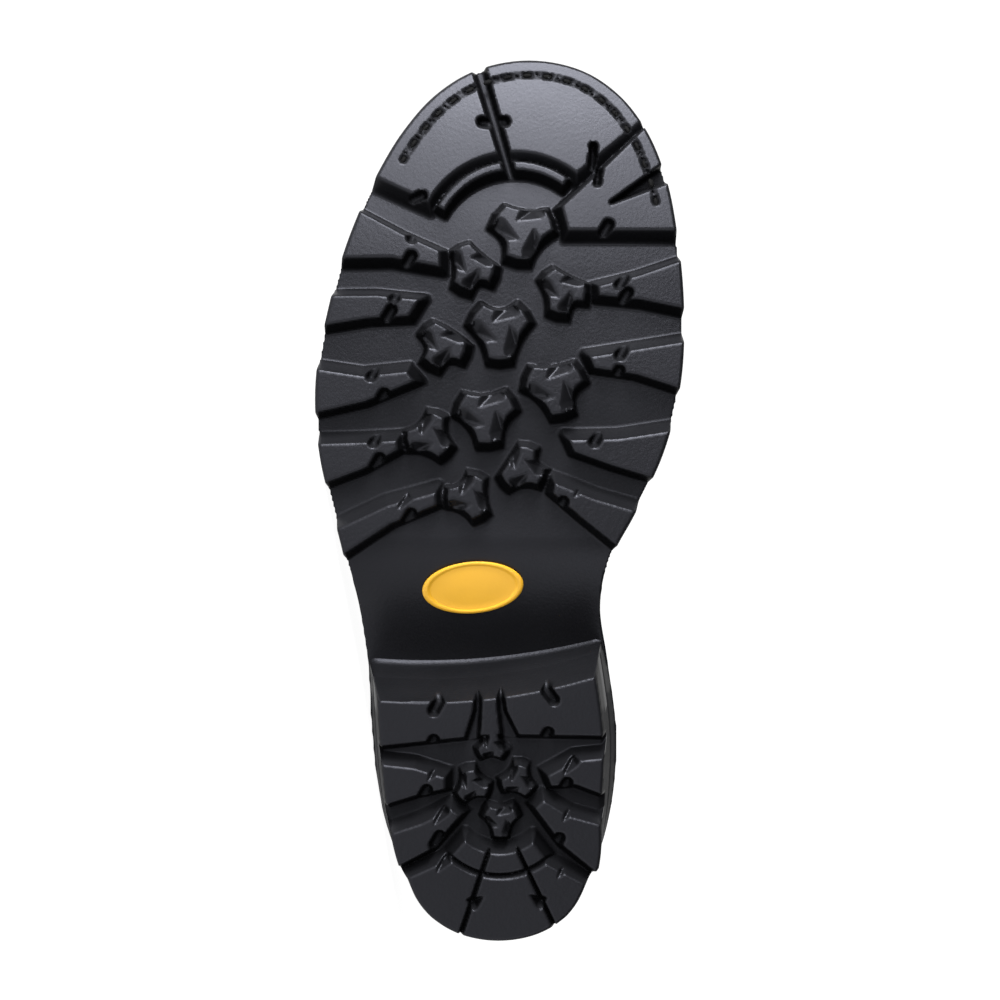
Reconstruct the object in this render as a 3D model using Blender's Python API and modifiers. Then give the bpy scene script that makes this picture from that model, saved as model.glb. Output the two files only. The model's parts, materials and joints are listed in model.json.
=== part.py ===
"""Insulated pull-on boot for the right foot, lying on its outer side.

The tables are in millimetres in the boot's own frame: x runs from heel to toe, y from the outer
side (negative) to the inner side (positive) and z up from the tread. One empty then lays the
finished boot on its side, with the edge of its sole and its collar on the floor.
"""
import math

import bmesh
import bpy
import numpy as np
from mathutils import Matrix, Vector

MM = 0.001
GAP = 0.3

# Heights of the sole, counted up from the tread
LUG_DEPTH = 7.5
PLATE = 5.0
MIDSOLE = 4.5
MIDSOLE_INSET = 0.8
WELT = 3.5
HEEL_LUG = 7.0
HEEL_BLOCK = 17.0
HEEL_HEIGHT = 28.0
ARCH_BACK, ARCH_FRONT = 84.0, 134.0
SPRING_START, TOE_END, TOE_SPRING = 220.0, 293.0, 12.0

# Lug shapes
LUG_DRAFT, STAR_DRAFT = 3.3, 2.7
HEEL_DRAFT, HEEL_STAR_DRAFT = 2.4, 1.9
LUG_FLARE = 0.8
LUG_ROOT = 1.5
STAR_ARM_WIDTH = 0.41
STAR_WAIST = 0.58
GROOVE_BOTTOM = 0.9
GROOVE_FLOOR = 0.8

# Upper and what is sewn to it
WALL = 4.5
OVERLAY = 1.5
LOOP_RISE = 13.0
LOOP_THICKNESS = 1.6
INSOLE = 6.0

# The floor seen from the boot: how far it falls away along the length and up the shaft
FLOOR_ALONG = 0.16846
FLOOR_UP = 0.02386

# Edge of the sole plate: x, outer_y, inner_y
TOE_TIP, HEEL_TIP = (293.9, 10.0), (-2.0, -0.5)
SOLE_EDGE = [
    (289.2, -10.6, 29.8),
    (281.6, -21.6, 39.9),
    (270.2, -31.4, 48.3),
    (254.0, -40.9, 54.8),
    (234.0, -49.6, 58.6),
    (210.0, -56.6, 60.7),
    (186.0, -60.8, 59.7),
    (162.0, -59.6, 53.8),
    (142.0, -55.0, 44.4),
    (126.0, -51.0, 36.2),
    (110.0, -47.6, 33.8),
    (92.0, -45.2, 36.4),
    (66.0, -43.6, 39.6),
    (42.0, -40.8, 38.2),
    (24.0, -35.2, 33.6),
    (10.0, -27.6, 26.4),
    (1.5, -16.6, 15.6),
]

# How far the upper stands in from the sole edge: x, margin
UPPER_MARGIN = [(0.0, 3.0), (80.0, 3.2), (125.0, 4.0), (180.0, 6.5), (293.0, 6.5)]

# Heel: taper of its sides from seat to tread, and the breast that slants and bows to the inner side
HEEL_TAPER_BACK, HEEL_TAPER_OUTER, HEEL_TAPER_INNER = 2.0, 4.2, 5.8
HEEL_TAPER_X, HEEL_TAPER_RUN = 15.0, 35.0
BREAST_TREAD, BREAST_SEAT, BREAST_BOW, BREAST_BOW_Y = 78.3, 89.5, 0.00266, -25.0

# Bars: side, edge_toe_x, edge_heel_x, tip_toe_x, tip_toe_y, tip_heel_x, tip_heel_y, bow_toe, bow_heel
FOREFOOT_BARS = [
    (-1, 242.4, 227.2, 229.2, -20.2, 224.4, -20.2, -0.5, 1.6),
    (-1, 214.3, 204.8, 213.0, -27.2, 207.8, -30.4, 0.8, 0.8),
    (-1, 189.7, 175.6, 189.0, -31.2, 185.9, -28.8, -1.9, -1.5),
    (-1, 164.9, 152.2, 166.0, -34.7, 163.0, -34.2, -0.2, -1.0),
    (-1, 136.8, 128.5, 148.6, -21.7, 144.7, -21.3, 1.6, 1.8),
    (1, 270.5, 236.5, 244.3, 20.8, 236.6, 22.9, -0.3, 0.0),
    (1, 225.7, 210.5, 217.6, 33.0, 214.8, 33.3, -0.6, 0.7),
    (1, 198.8, 183.8, 193.9, 30.2, 190.4, 31.7, 0.0, 1.2),
    (1, 169.0, 154.0, 166.1, 23.3, 162.4, 25.0, -1.0, -0.4),
    (1, 142.6, 131.5, 151.7, 18.5, 148.5, 18.0, -0.7, -0.3),
]
HEEL_BARS = [
    (-1, 57.8, 45.0, 53.5, -18.5, 50.0, -18.5, 1.0, 0.4),
    (-1, 35.1, 24.7, 43.0, -16.5, 40.9, -13.5, -0.8, -3.0),
    (1, 59.9, 48.5, 54.2, 16.0, 51.0, 17.3, 2.0, 1.8),
    (1, 38.0, 23.4, 45.9, 14.6, 43.4, 11.9, -1.5, -2.4),
]

# Three-armed stars: x, y, reach, turns of the arms from the toe towards the inner side in degrees
FOREFOOT_STARS = [
    (236.5, 7.7, 9.2, -57.0, 69.0, 191.0),
    (224.3, -9.5, 7.0, -27.0, 108.0, 206.0),
    (216.3, 21.0, 7.0, -42.0, 94.0, 193.0),
    (203.0, 0.0, 9.2, -56.0, 53.0, 180.0),
    (198.3, -19.0, 7.0, -42.0, 110.0, 212.0),
    (184.3, 18.3, 8.8, -71.0, 58.0, 164.0),
    (174.8, -4.6, 8.8, -66.0, 58.0, 174.0),
    (167.8, -23.5, 6.9, 18.0, 135.0, 260.0),
    (147.5, -10.3, 6.7, 20.0, 149.0, 270.0),
    (157.0, 7.5, 6.7, 14.0, 115.0, 233.0),
]
HEEL_STARS = [
    (64.0, -2.7, 4.6, 0.0, 120.0, 240.0),
    (50.8, -9.3, 5.8, -15.0, 105.0, 225.0),
    (52.5, 6.0, 5.8, 12.0, 132.0, 252.0),
    (39.5, 0.2, 5.8, -60.0, 60.0, 180.0),
]

# Curved lugs at toe and heel. Arcs: centre_x, centre_y, radius, from and to in degrees.
# Ribs: centre_x, centre_y, inner_radius, outer_radius, from and to in degrees.
TOE_ARC = (230.0, 5.0, 33.1, 38.9, -60.7)
TOE_RIB = (230.0, 5.0, 27.0, 29.5, 36.6, -60.6)
TOE_LUG_OUTER_X, TOE_LUG_INNER_X = 253.6, 274.9
REAR_ARC = (45.4, 0.0, 25.6, 143.4, 221.6)
REAR_RIB = (45.4, 0.0, 17.3, 23.5, 141.0, 222.0)
REAR_LUG_OUTER_X, REAR_LUG_INNER_X = 18.4, 16.1
FRONT_BAR_OUTER_X, FRONT_BAR_INNER_X = 64.0, 67.6
FRONT_BAR_MIDDLE = (68.3, -2.0)

# Grooves: x, y, width at one end, then at the other
TOE_GROOVES = [
    (293.0, -7.5, 4.8, 252.0, 4.4, 3.8),
    (258.5, 57.0, 9.5, 245.5, 35.0, 1.6),
]
HEEL_GROOVES = [
    (84.0, -7.2, 1.0, 63.5, -9.4, 6.6),
    (84.5, -0.2, 1.0, 64.0, 3.6, 6.6),
    (30.5, -3.2, 2.2, -2.0, -14.2, 2.6),
    (31.0, 5.2, 2.2, -1.0, 20.6, 2.6),
]

# Plug in the waist: centre, width across the sole, length, turn in degrees, thickness
PLUG_X, PLUG_Y, PLUG_ACROSS, PLUG_ALONG, PLUG_TURN, PLUG_THICK = 116.3, -9.2, 34.3, 18.0, 5.0, 1.3

# Rings of the upper from feather edge to collar: back_x, back_z, front_x, front_z, half_width,
# oval share of its plan, share of the sole's curve that it keeps, y of its middle
UPPER_RINGS = [
    (0.0, 0.0, 0.0, 0.0, 54.6, 0.0, 1.0, 0.0),
    (-1.5, 56.0, 288.0, 44.0, 55.2, 0.0, 0.85, 0.0),
    (-2.0, 72.0, 284.0, 58.0, 53.0, 0.06, 0.62, 0.0),
    (-1.0, 88.0, 272.0, 69.0, 48.6, 0.18, 0.42, -0.4),
    (1.5, 104.0, 251.0, 77.5, 45.0, 0.34, 0.24, -1.0),
    (5.0, 120.0, 224.0, 86.0, 42.6, 0.50, 0.10, -1.8),
    (8.0, 136.0, 197.0, 97.0, 41.4, 0.66, 0.0, -2.4),
    (9.5, 152.0, 172.0, 114.0, 41.2, 0.78, 0.0, -2.8),
    (9.5, 168.0, 154.5, 138.0, 41.4, 0.87, 0.0, -3.0),
    (8.5, 186.0, 144.0, 166.0, 42.0, 0.93, 0.0, -3.2),
    (6.5, 206.0, 138.0, 196.0, 42.6, 0.97, 0.0, -3.4),
    (4.0, 228.0, 135.0, 226.0, 43.2, 1.0, 0.0, -3.5),
    (1.5, 250.0, 134.0, 254.0, 43.8, 1.0, 0.0, -3.5),
]
COLLAR_ROW = len(UPPER_RINGS) - 1
FEATHER_TRIM = 1.5
RINGS_PER_ROW, RING_POINTS = 2, 48
RING_STEP = 2.0 * math.pi / RING_POINTS

# Overlays: ring points that they reach each way from the back, and their rows on the upper
COUNTER_REACH, COUNTER_TOP_ROW, COUNTER_END_ROW = 9, 4.1, 1.5
BAND_ROW = 10.9
LOOP_REACH, LOOP_ROW = 2, 11.05

# Materials: colour, roughness
RUBBER = ((0.012, 0.012, 0.013), 0.48)
HEEL_RUBBER = ((0.009, 0.009, 0.010), 0.46)
WELT_LEATHER = ((0.010, 0.010, 0.010), 0.50)
UPPER_LEATHER = ((0.014, 0.013, 0.013), 0.42)
FOOTBED = ((0.090, 0.085, 0.080), 0.95)
WEBBING = ((0.013, 0.013, 0.014), 0.85)
PLUG_RUBBER = ((0.960, 0.460, 0.020), 0.42)


def smooth_step(values):
    """0 to 1 with level ends."""
    s = np.clip(values, 0.0, 1.0)
    return s * s * (3.0 - 2.0 * s)


def smooth_loop(points, per_span):
    """Points on a smooth closed curve through the given points."""
    p = np.array(points)
    ahead = np.roll(p, -1, axis=0) - p
    length = np.linalg.norm(ahead, axis=1)[:, None]
    behind, length_behind = np.roll(ahead, 1, axis=0), np.roll(length, 1)
    tangent = (behind / length_behind * length + ahead / length * length_behind) / (length + length_behind)
    s = (np.arange(per_span) / per_span)[None, :, None]
    start, end = p[:, None], np.roll(p, -1, axis=0)[:, None]
    pull_start = (tangent * length)[:, None]
    pull_end = (np.roll(tangent, -1, axis=0) * length)[:, None]
    curve = (start * (2 * s**3 - 3 * s**2 + 1) + pull_start * (s**3 - 2 * s**2 + s)
             + end * (3 * s**2 - 2 * s**3) + pull_end * (s**3 - s**2))
    return curve.reshape(-1, 2)


def smooth_rows(table, position):
    """A table's columns read between its rows along a smooth curve."""
    rows = np.array(table)
    first = np.clip(np.floor(position).astype(int), 0, len(rows) - 2)
    s = (position - first)[..., None]
    slope = np.gradient(rows, axis=0)
    return (rows[first] * (2 * s**3 - 3 * s**2 + 1) + slope[first] * (s**3 - 2 * s**2 + s)
            + rows[first + 1] * (3 * s**2 - 2 * s**3) + slope[first + 1] * (s**3 - s**2))


def inset(loop, distance):
    """The loop, which runs toe, outer side, heel, inner side, moved in by a distance for each point."""
    along = np.roll(loop, -1, axis=0) - np.roll(loop, 1, axis=0)
    inward = np.stack([along[:, 1], -along[:, 0]], axis=1)
    inward /= np.linalg.norm(inward, axis=1)[:, None]
    return loop + inward * np.broadcast_to(distance, len(loop))[:, None]


def sides(loop):
    """The loop's outer and inner halves, each from heel to toe."""
    turned = np.roll(loop, -int(np.argmax(loop[:, 0])), axis=0)
    heel = int(np.argmin(turned[:, 0]))
    outer = turned[: heel + 1][::-1]
    inner = np.vstack([turned[heel:], turned[:1]])
    return outer, inner


def edge_y(loop, side, x):
    """y of the loop's outer (-1) or inner (1) half at x."""
    half = sides(loop)[0 if side < 0 else 1]
    return np.interp(x, half[:, 0], half[:, 1])


def edge_points(loop, side, start_x, end_x, count):
    x = np.linspace(start_x, end_x, count)
    return [(px, py) for px, py in zip(x, edge_y(loop, side, x))]


def arc_points(centre_x, centre_y, radius, start, end, count):
    turn = np.radians(np.linspace(start, end, count))
    return list(zip(centre_x + radius * np.cos(turn), centre_y + radius * np.sin(turn)))


def spring_z(x):
    """Rise of the tread towards the toe."""
    return TOE_SPRING * np.clip((x - SPRING_START) / (TOE_END - SPRING_START), 0.0, None) ** 2


def base_z(x):
    """Underside of the sole plate: forefoot, waist that climbs to the heel seat, toe spring."""
    climb = smooth_step((ARCH_FRONT - x) / (ARCH_FRONT - ARCH_BACK))
    return LUG_DEPTH + (HEEL_HEIGHT - LUG_DEPTH) * climb + spring_z(x)


def welt_z(x):
    """Top of the welt."""
    return base_z(x) + PLATE + GAP + MIDSOLE + GAP + WELT


SOLE_LOOP = smooth_loop(
    [TOE_TIP] + [(x, outer) for x, outer, _ in SOLE_EDGE]
    + [HEEL_TIP] + [(x, inner) for x, _, inner in reversed(SOLE_EDGE)], 8)
LUG_LOOP = inset(SOLE_LOOP, -LUG_FLARE)
PLATE_STATIONS = (TOE_TIP[0] + HEEL_TIP[0]) / 2.0 - (TOE_TIP[0] - HEEL_TIP[0]) / 2.0 * np.cos(
    np.linspace(0.0, math.pi, 56))
FEATHER_LOOP = inset(SOLE_LOOP, np.interp(SOLE_LOOP[:, 0], *np.array(UPPER_MARGIN).T))


def heel_loop(z, side_points=15, breast_points=7):
    """Outline of the heel at height z: tapered sides, and a breast that slants and bows."""
    share = smooth_step((SOLE_LOOP[:, 0] - HEEL_TAPER_X) / HEEL_TAPER_RUN)
    side_taper = np.where(SOLE_LOOP[:, 1] < 0, HEEL_TAPER_OUTER, HEEL_TAPER_INNER)
    taper = HEEL_TAPER_BACK + (side_taper - HEEL_TAPER_BACK) * share
    whole = inset(SOLE_LOOP, taper * (1.0 - z / HEEL_HEIGHT))
    front = BREAST_TREAD + (BREAST_SEAT - BREAST_TREAD) * z / HEEL_HEIGHT
    runs = []
    for half in sides(whole):
        breast = front + BREAST_BOW * (half[:, 1] - BREAST_BOW_Y) ** 2
        cut = int(np.argmax(half[:, 0] > breast))
        over = half[cut - 1:cut + 1, 0] - breast[cut - 1:cut + 1]
        corner = half[cut - 1] + (half[cut] - half[cut - 1]) * over[0] / (over[0] - over[1])
        run = np.vstack([half[:cut], corner])
        travel = np.r_[0.0, np.cumsum(np.linalg.norm(np.diff(run, axis=0), axis=1))]
        spots = np.linspace(0.0, travel[-1], side_points)
        runs.append(np.stack([np.interp(spots, travel, run[:, axis]) for axis in (0, 1)], axis=1))
    outer, inner = runs
    y = np.linspace(outer[-1, 1], inner[-1, 1], breast_points + 2)[1:-1]
    breast_line = np.stack([front + BREAST_BOW * (y - BREAST_BOW_Y) ** 2, y], axis=1)
    return np.vstack([outer, breast_line, inner[:0:-1]])[::-1]


def new_part(name, mesh, finish, collection, smooth_angle=None):
    """An object with its own material, put in a collection."""
    obj = bpy.data.objects.new(name, mesh)
    collection.objects.link(obj)
    if finish:
        colour, roughness = finish
        material = bpy.data.materials.new(name)
        material.use_nodes = True
        shader = material.node_tree.nodes["Principled BSDF"]
        shader.inputs["Base Color"].default_value = (*colour, 1.0)
        shader.inputs["Roughness"].default_value = roughness
        mesh.materials.append(material)
    if smooth_angle:
        mesh.shade_smooth()
        mesh.set_sharp_from_angle(angle=math.radians(smooth_angle))
    return obj


def mesh_of(name, points, faces):
    """A mesh in metres from points in millimetres, with its faces turned outwards."""
    mesh = bpy.data.meshes.new(name)
    mesh.from_pydata([Vector(p) * MM for p in points], [], faces)
    form = bmesh.new()
    form.from_mesh(mesh)
    bmesh.ops.triangulate(form, faces=[f for f in form.faces if len(f.verts) > 4])
    bmesh.ops.recalc_face_normals(form, faces=form.faces)
    form.to_mesh(mesh)
    form.free()
    return mesh


def loft(name, rings, capped=True):
    """A skin over closed rings of equal count, given from bottom to top, with its ends closed."""
    count = len(rings[0])
    faces = []
    for ring in range(len(rings) - 1):
        for i in range(count):
            j = (i + 1) % count
            a, b = ring * count, (ring + 1) * count
            faces.append((a + i, a + j, b + j, b + i))
    if capped:
        faces.append(tuple(range(count)))
        faces.append(tuple(range((len(rings) - 1) * count, len(rings) * count)))
    return mesh_of(name, np.vstack(rings), faces)


def ring_at(loop, z):
    """A flat loop lifted to z, one height or one for each point."""
    return np.column_stack([loop, np.broadcast_to(z, len(loop))])


def plate(name, loop, bottom, top):
    """A bent plate: the loop read at the same x on both sides, between two heights along x."""
    outer, inner = sides(loop)
    heel_x, toe_x = outer[0, 0], outer[-1, 0]
    inside = (PLATE_STATIONS > heel_x + 0.4) & (PLATE_STATIONS < toe_x - 0.4)
    x = np.r_[heel_x, PLATE_STATIONS[inside], toe_x]
    stations = len(x)
    points, faces = [], []
    for height in (bottom, top):
        start = len(points)
        for side in (outer, inner):
            y = np.interp(x, side[:, 0], side[:, 1])
            points += [(px, py, pz) for px, py, pz in zip(x, y, height(x))]
        for i in range(stations - 1):
            a, b = start + i, start + stations + i
            faces.append((a, a + 1, b + 1, b))
    lift = 2 * stations
    for start in (0, stations):
        for i in range(start, start + stations - 1):
            faces.append((i, i + 1, i + 1 + lift, i + lift))
    mesh = mesh_of(name, points, faces)
    form = bmesh.new()
    form.from_mesh(mesh)
    bmesh.ops.remove_doubles(form, verts=form.verts, dist=0.01 * MM)
    bmesh.ops.recalc_face_normals(form, faces=form.faces)
    form.to_mesh(mesh)
    form.free()
    return mesh


def grown(points, drafts):
    """The polygon with each side, from one point to the next, moved out by its own draft."""
    p = np.array(points, float)
    along = np.roll(p, -1, axis=0) - p
    along /= np.linalg.norm(along, axis=1)[:, None]
    out = np.stack([along[:, 1], -along[:, 0]], axis=1) * np.array(drafts, float)[:, None]
    moved = []
    for i in range(len(p)):
        before, after = along[i - 1], along[i]
        cross = before[0] * after[1] - before[1] * after[0]
        if abs(cross) < 0.1:
            moved.append(p[i] + (out[i - 1] + out[i]) / 2.0)
            continue
        step = out[i] - out[i - 1]
        reach = (step[0] * after[1] - step[1] * after[0]) / cross
        corner = out[i - 1] + before * reach
        longest = 1.7 * max(drafts)
        corner *= min(1.0, longest / max(np.linalg.norm(corner), 1e-9))
        moved.append(p[i] + corner)
    return np.array(moved)


def lug(name, points, drafts, tread, root, depth, collection):
    """A lug with drafted walls, from its top face on the tread to a root inside what carries it."""
    p = np.array(points, float)
    drafts = np.array(drafts, float)
    area = np.sum(p[:, 0] * np.roll(p[:, 1], -1) - p[:, 1] * np.roll(p[:, 0], -1))
    if area < 0:
        p = p[::-1]
        drafts = np.roll(drafts[::-1], -1)
    foot = grown(p, drafts * (depth + LUG_ROOT) / depth)
    mesh = loft(name, [ring_at(p, tread(p[:, 0])), ring_at(foot, root(foot[:, 0]))])
    return tool(name, mesh, collection)


def tool(name, mesh, collection):
    """A shape that is only joined to or cut from a part."""
    obj = new_part(name, mesh, None, collection)
    obj.hide_render = True
    obj.display_type = "WIRE"
    return obj


def bar_outline(row, loop, edge_draft, draft):
    """A side bar: out along the sole edge, then in along two bowed sides to a blunt tip."""
    side, edge_toe, edge_heel, toe_x, toe_y, heel_x, heel_y, bow_toe, bow_heel = row
    edge = edge_points(loop, side, edge_heel, edge_toe, 3)
    toe_middle = ((edge[-1][0] + toe_x) / 2.0 + bow_toe, (edge[-1][1] + toe_y) / 2.0)
    heel_middle = ((edge[0][0] + heel_x) / 2.0 + bow_heel, (edge[0][1] + heel_y) / 2.0)
    points = edge + [toe_middle, (toe_x, toe_y), (heel_x, heel_y), heel_middle]
    return points, [edge_draft, edge_draft] + [draft] * 5


def star_outline(row, draft):
    """Three arms with blunt ends and hollow sides between them."""
    x, y, reach, *arms = row
    middle = np.array([x, y])
    points = []
    for turn, next_turn in zip(arms, [*arms[1:], arms[0] + 360.0]):
        angle, between = math.radians(turn), math.radians((turn + next_turn) / 2.0)
        ahead = np.array([math.cos(angle), math.sin(angle)])
        across = np.array([-ahead[1], ahead[0]])
        points.append(middle + reach * (ahead - across * STAR_ARM_WIDTH))
        points.append(middle + reach * (ahead + across * STAR_ARM_WIDTH))
        points.append(middle + STAR_WAIST * reach * np.array([math.cos(between), math.sin(between)]))
    return points, [draft] * len(points)


def rib_outline(row, draft, count=9):
    """A stretch of a ring."""
    x, y, inner, outer, start, end = row
    points = arc_points(x, y, outer, start, end, count) + arc_points(x, y, inner, end, start, count)
    return points, [draft] * len(points)


def toe_lug_outline():
    """From the outer edge round the toe to the groove of the inner front bar, and back along an arc."""
    outer, inner = sides(LUG_LOOP)
    outer = outer[outer[:, 0] > TOE_LUG_OUTER_X][::2]
    inner = inner[inner[:, 0] > TOE_LUG_INNER_X][-2::-2]
    edge = [*outer, *inner]
    arc = arc_points(*TOE_ARC, 11)
    return edge + arc, [0.0] * (len(edge) - 1) + [LUG_DRAFT] * (len(arc) + 1)


def rear_lug_outline(tread_loop, edge_draft):
    """Round the back of the heel, and along an arc on its toe side."""
    outer = edge_points(tread_loop, -1, REAR_LUG_OUTER_X, 1.0, 7)
    inner = edge_points(tread_loop, 1, 1.0, REAR_LUG_INNER_X, 7)
    edge = outer + [(tread_loop[:, 0].min(), HEEL_TIP[1])] + inner
    arc = arc_points(*REAR_ARC, 9)
    return edge + arc, [edge_draft] * (len(edge) - 1) + [HEEL_DRAFT] * (len(arc) + 1)


def front_bar_outline(tread_loop, edge_draft, breast_draft):
    """The bar along the breast of the heel."""
    outer = edge_points(tread_loop, -1, FRONT_BAR_OUTER_X, 77.5, 3)
    inner = edge_points(tread_loop, 1, 85.0, FRONT_BAR_INNER_X, 3)
    y = np.linspace(outer[-1][1], inner[0][1], 9)
    breast = [(BREAST_TREAD + LUG_FLARE + BREAST_BOW * (py - BREAST_BOW_Y) ** 2, py) for py in y]
    edge = outer[:-1] + breast + inner[1:]
    drafts = [edge_draft] * 2 + [breast_draft] * (len(breast) - 1) + [edge_draft] * 2 + [HEEL_DRAFT] * 2
    return edge + [FRONT_BAR_MIDDLE], drafts


def groove(name, row, tread, floor, collection):
    """A cutter for a groove with sloping walls, from below the tread up to its floor."""
    x0, y0, width0, x1, y1, width1 = row
    start, end = np.array([x0, y0]), np.array([x1, y1])
    along = (end - start) / np.linalg.norm(end - start)
    across = np.array([-along[1], along[0]]) / 2.0
    spots = np.linspace(0.0, 1.0, 5)
    rings = []
    for slimmer, height in ((-1.0, lambda x: tread(x) - 2.0), (1.0, floor)):
        left, right = [], []
        for s in spots:
            width = max(width0 + (width1 - width0) * s - slimmer, GROOVE_BOTTOM)
            left.append(start + (end - start) * s + across * width)
            right.append(start + (end - start) * s - across * width)
        flat = np.array(left + right[::-1])
        rings.append(ring_at(flat, height(flat[:, 0])))
    return tool(name, loft(name, rings), collection)


def join_and_cut(part, lugs, grooves):
    """Fuse the lugs to the part, then cut the grooves."""
    for operation, tools in (("UNION", lugs), ("DIFFERENCE", grooves)):
        for other in tools:
            step = part.modifiers.new(other.name, "BOOLEAN")
            step.operation = operation
            step.solver = "EXACT"
            step.object = other


def make_outsole(parts, tools):
    mesh = plate("outsole", SOLE_LOOP, base_z, lambda x: base_z(x) + PLATE)
    part = new_part("outsole", mesh, RUBBER, parts, 35)
    outlines = {"toe_lug": toe_lug_outline(), "toe_rib": rib_outline(TOE_RIB, LUG_DRAFT)}
    for number, row in enumerate(FOREFOOT_BARS, 1):
        outlines[f"bar_{number}"] = bar_outline(row, LUG_LOOP, 0.0, LUG_DRAFT)
    for number, row in enumerate(FOREFOOT_STARS, 1):
        outlines[f"star_{number}"] = star_outline(row, STAR_DRAFT)
    root = lambda x: base_z(x) + LUG_ROOT
    lugs = [lug(name, *outline, spring_z, root, LUG_DEPTH, tools) for name, outline in outlines.items()]
    floor = lambda x: base_z(x) - GROOVE_FLOOR
    cuts = [groove(f"toe_groove_{n}", row, spring_z, floor, tools) for n, row in enumerate(TOE_GROOVES, 1)]
    join_and_cut(part, lugs, cuts)
    return part


def make_heel(parts, tools):
    level = lambda height: lambda x: np.full_like(x, height)
    rings = [ring_at(heel_loop(z), z) for z in (HEEL_LUG, HEEL_BLOCK)]
    part = new_part("heel", loft("heel", rings), HEEL_RUBBER, parts, 35)
    tread = inset(heel_loop(0.0, 40), -LUG_FLARE)
    edge_draft = (HEEL_TAPER_OUTER + HEEL_TAPER_INNER) / 2.0 * HEEL_LUG / HEEL_HEIGHT
    breast_draft = (BREAST_SEAT - BREAST_TREAD) * HEEL_LUG / HEEL_HEIGHT
    back_draft = HEEL_TAPER_BACK * HEEL_LUG / HEEL_HEIGHT
    outlines = {
        "front_bar": front_bar_outline(tread, edge_draft, breast_draft),
        "rear_lug": rear_lug_outline(tread, back_draft),
        "rear_rib": rib_outline(REAR_RIB, HEEL_DRAFT),
    }
    for number, row in enumerate(HEEL_BARS, 1):
        outlines[f"heel_bar_{number}"] = bar_outline(row, tread, edge_draft, HEEL_DRAFT)
    for number, row in enumerate(HEEL_STARS, 1):
        outlines[f"heel_star_{number}"] = star_outline(row, HEEL_STAR_DRAFT)
    root = level(HEEL_LUG + LUG_ROOT)
    lugs = [lug(name, *outline, level(0.0), root, HEEL_LUG, tools) for name, outline in outlines.items()]
    floor = level(HEEL_LUG - GROOVE_FLOOR)
    cuts = [groove(f"heel_groove_{n}", row, level(0.0), floor, tools) for n, row in enumerate(HEEL_GROOVES, 1)]
    join_and_cut(part, lugs, cuts)
    return part


def make_heel_base(parts, tools):
    """The layer over the heel block, cut to the curve of the sole plate above it."""
    rings = [ring_at(heel_loop(z), z) for z in (HEEL_BLOCK + GAP, HEEL_HEIGHT + PLATE)]
    part = new_part("heel_base", loft("heel_base", rings), HEEL_RUBBER, parts, 35)
    room = inset(SOLE_LOOP, -2.0 * HEEL_TAPER_INNER)
    mesh = plate("seat", room, lambda x: base_z(x) - GAP, lambda x: base_z(x) + 4.0 * PLATE)
    join_and_cut(part, [], [tool("seat", mesh, tools)])
    return part


def make_midsole(parts):
    bottom = lambda x: base_z(x) + PLATE + GAP
    mesh = plate("midsole", inset(SOLE_LOOP, MIDSOLE_INSET), bottom, lambda x: bottom(x) + MIDSOLE)
    return new_part("midsole", mesh, RUBBER, parts, 35)


def make_welt(parts, tools):
    """A flat strip under the wall of the upper, out to the edge of the sole."""
    mesh = plate("welt", SOLE_LOOP, lambda x: welt_z(x) - WELT, welt_z)
    part = new_part("welt", mesh, WELT_LEATHER, parts, 35)
    room = inset(FEATHER_LOOP, WALL + GAP)
    hole = plate("welt_hole", room, lambda x: welt_z(x) - 2.0 * WELT, lambda x: welt_z(x) + WELT)
    join_and_cut(part, [], [tool("welt_hole", hole, tools)])
    return part


def make_insole(parts):
    bottom = lambda x: welt_z(x) - WELT
    mesh = plate("insole", inset(FEATHER_LOOP, WALL + 3.0 * GAP), bottom, lambda x: bottom(x) + INSOLE)
    return new_part("insole", mesh, FOOTBED, parts, 35)


def upper_point(row, turn):
    """Points of the upper's outer face: row counts up its rings, turn goes round from the back."""
    row, turn = np.broadcast_arrays(np.asarray(row, float), np.asarray(turn, float))
    outer, inner = sides(FEATHER_LOOP)
    heel_x, toe_x = outer[0, 0], outer[-1, 0]
    rings = [list(ring) for ring in UPPER_RINGS]
    rings[0][:4] = [heel_x, welt_z(heel_x) - FEATHER_TRIM, toe_x, welt_z(toe_x) - FEATHER_TRIM]
    back_x, back_z, front_x, front_z, half, oval, sag, middle = np.moveaxis(smooth_rows(rings, row), -1, 0)
    along = (1.0 - np.cos(turn)) / 2.0
    plan_x = heel_x + (toe_x - heel_x) * along
    outer_y = np.interp(plan_x, outer[:, 0], outer[:, 1])
    inner_y = np.interp(plan_x, inner[:, 0], inner[:, 1])
    widest = (edge_y(FEATHER_LOOP, 1, np.linspace(heel_x, toe_x, 200))
              - edge_y(FEATHER_LOOP, -1, np.linspace(heel_x, toe_x, 200))).max() / 2.0
    plan = (inner_y - outer_y) / 2.0 / widest
    shape = (1.0 - oval) * plan + oval * np.abs(np.sin(turn))
    centre = (1.0 - oval) * (inner_y + outer_y) / 2.0 + middle
    y = centre - np.sign(np.sin(turn)) * half * shape
    seat_line = welt_z(heel_x) + (welt_z(toe_x) - welt_z(heel_x)) * along
    z = back_z + (front_z - back_z) * along + sag * (welt_z(plan_x) - seat_line)
    return np.stack([back_x + (front_x - back_x) * along, y, z], axis=-1)


def upper_normal(row, turn):
    """Outward direction of the upper's outer face."""
    step = 0.02
    low, high = np.clip(row - step, 0.0, COLLAR_ROW), np.clip(row + step, 0.0, COLLAR_ROW)
    up = upper_point(high, turn) - upper_point(low, turn)
    round_it = upper_point(row, turn + step) - upper_point(row, turn - step)
    normal = np.cross(round_it, up)
    return normal / np.linalg.norm(normal, axis=-1)[..., None]


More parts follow.
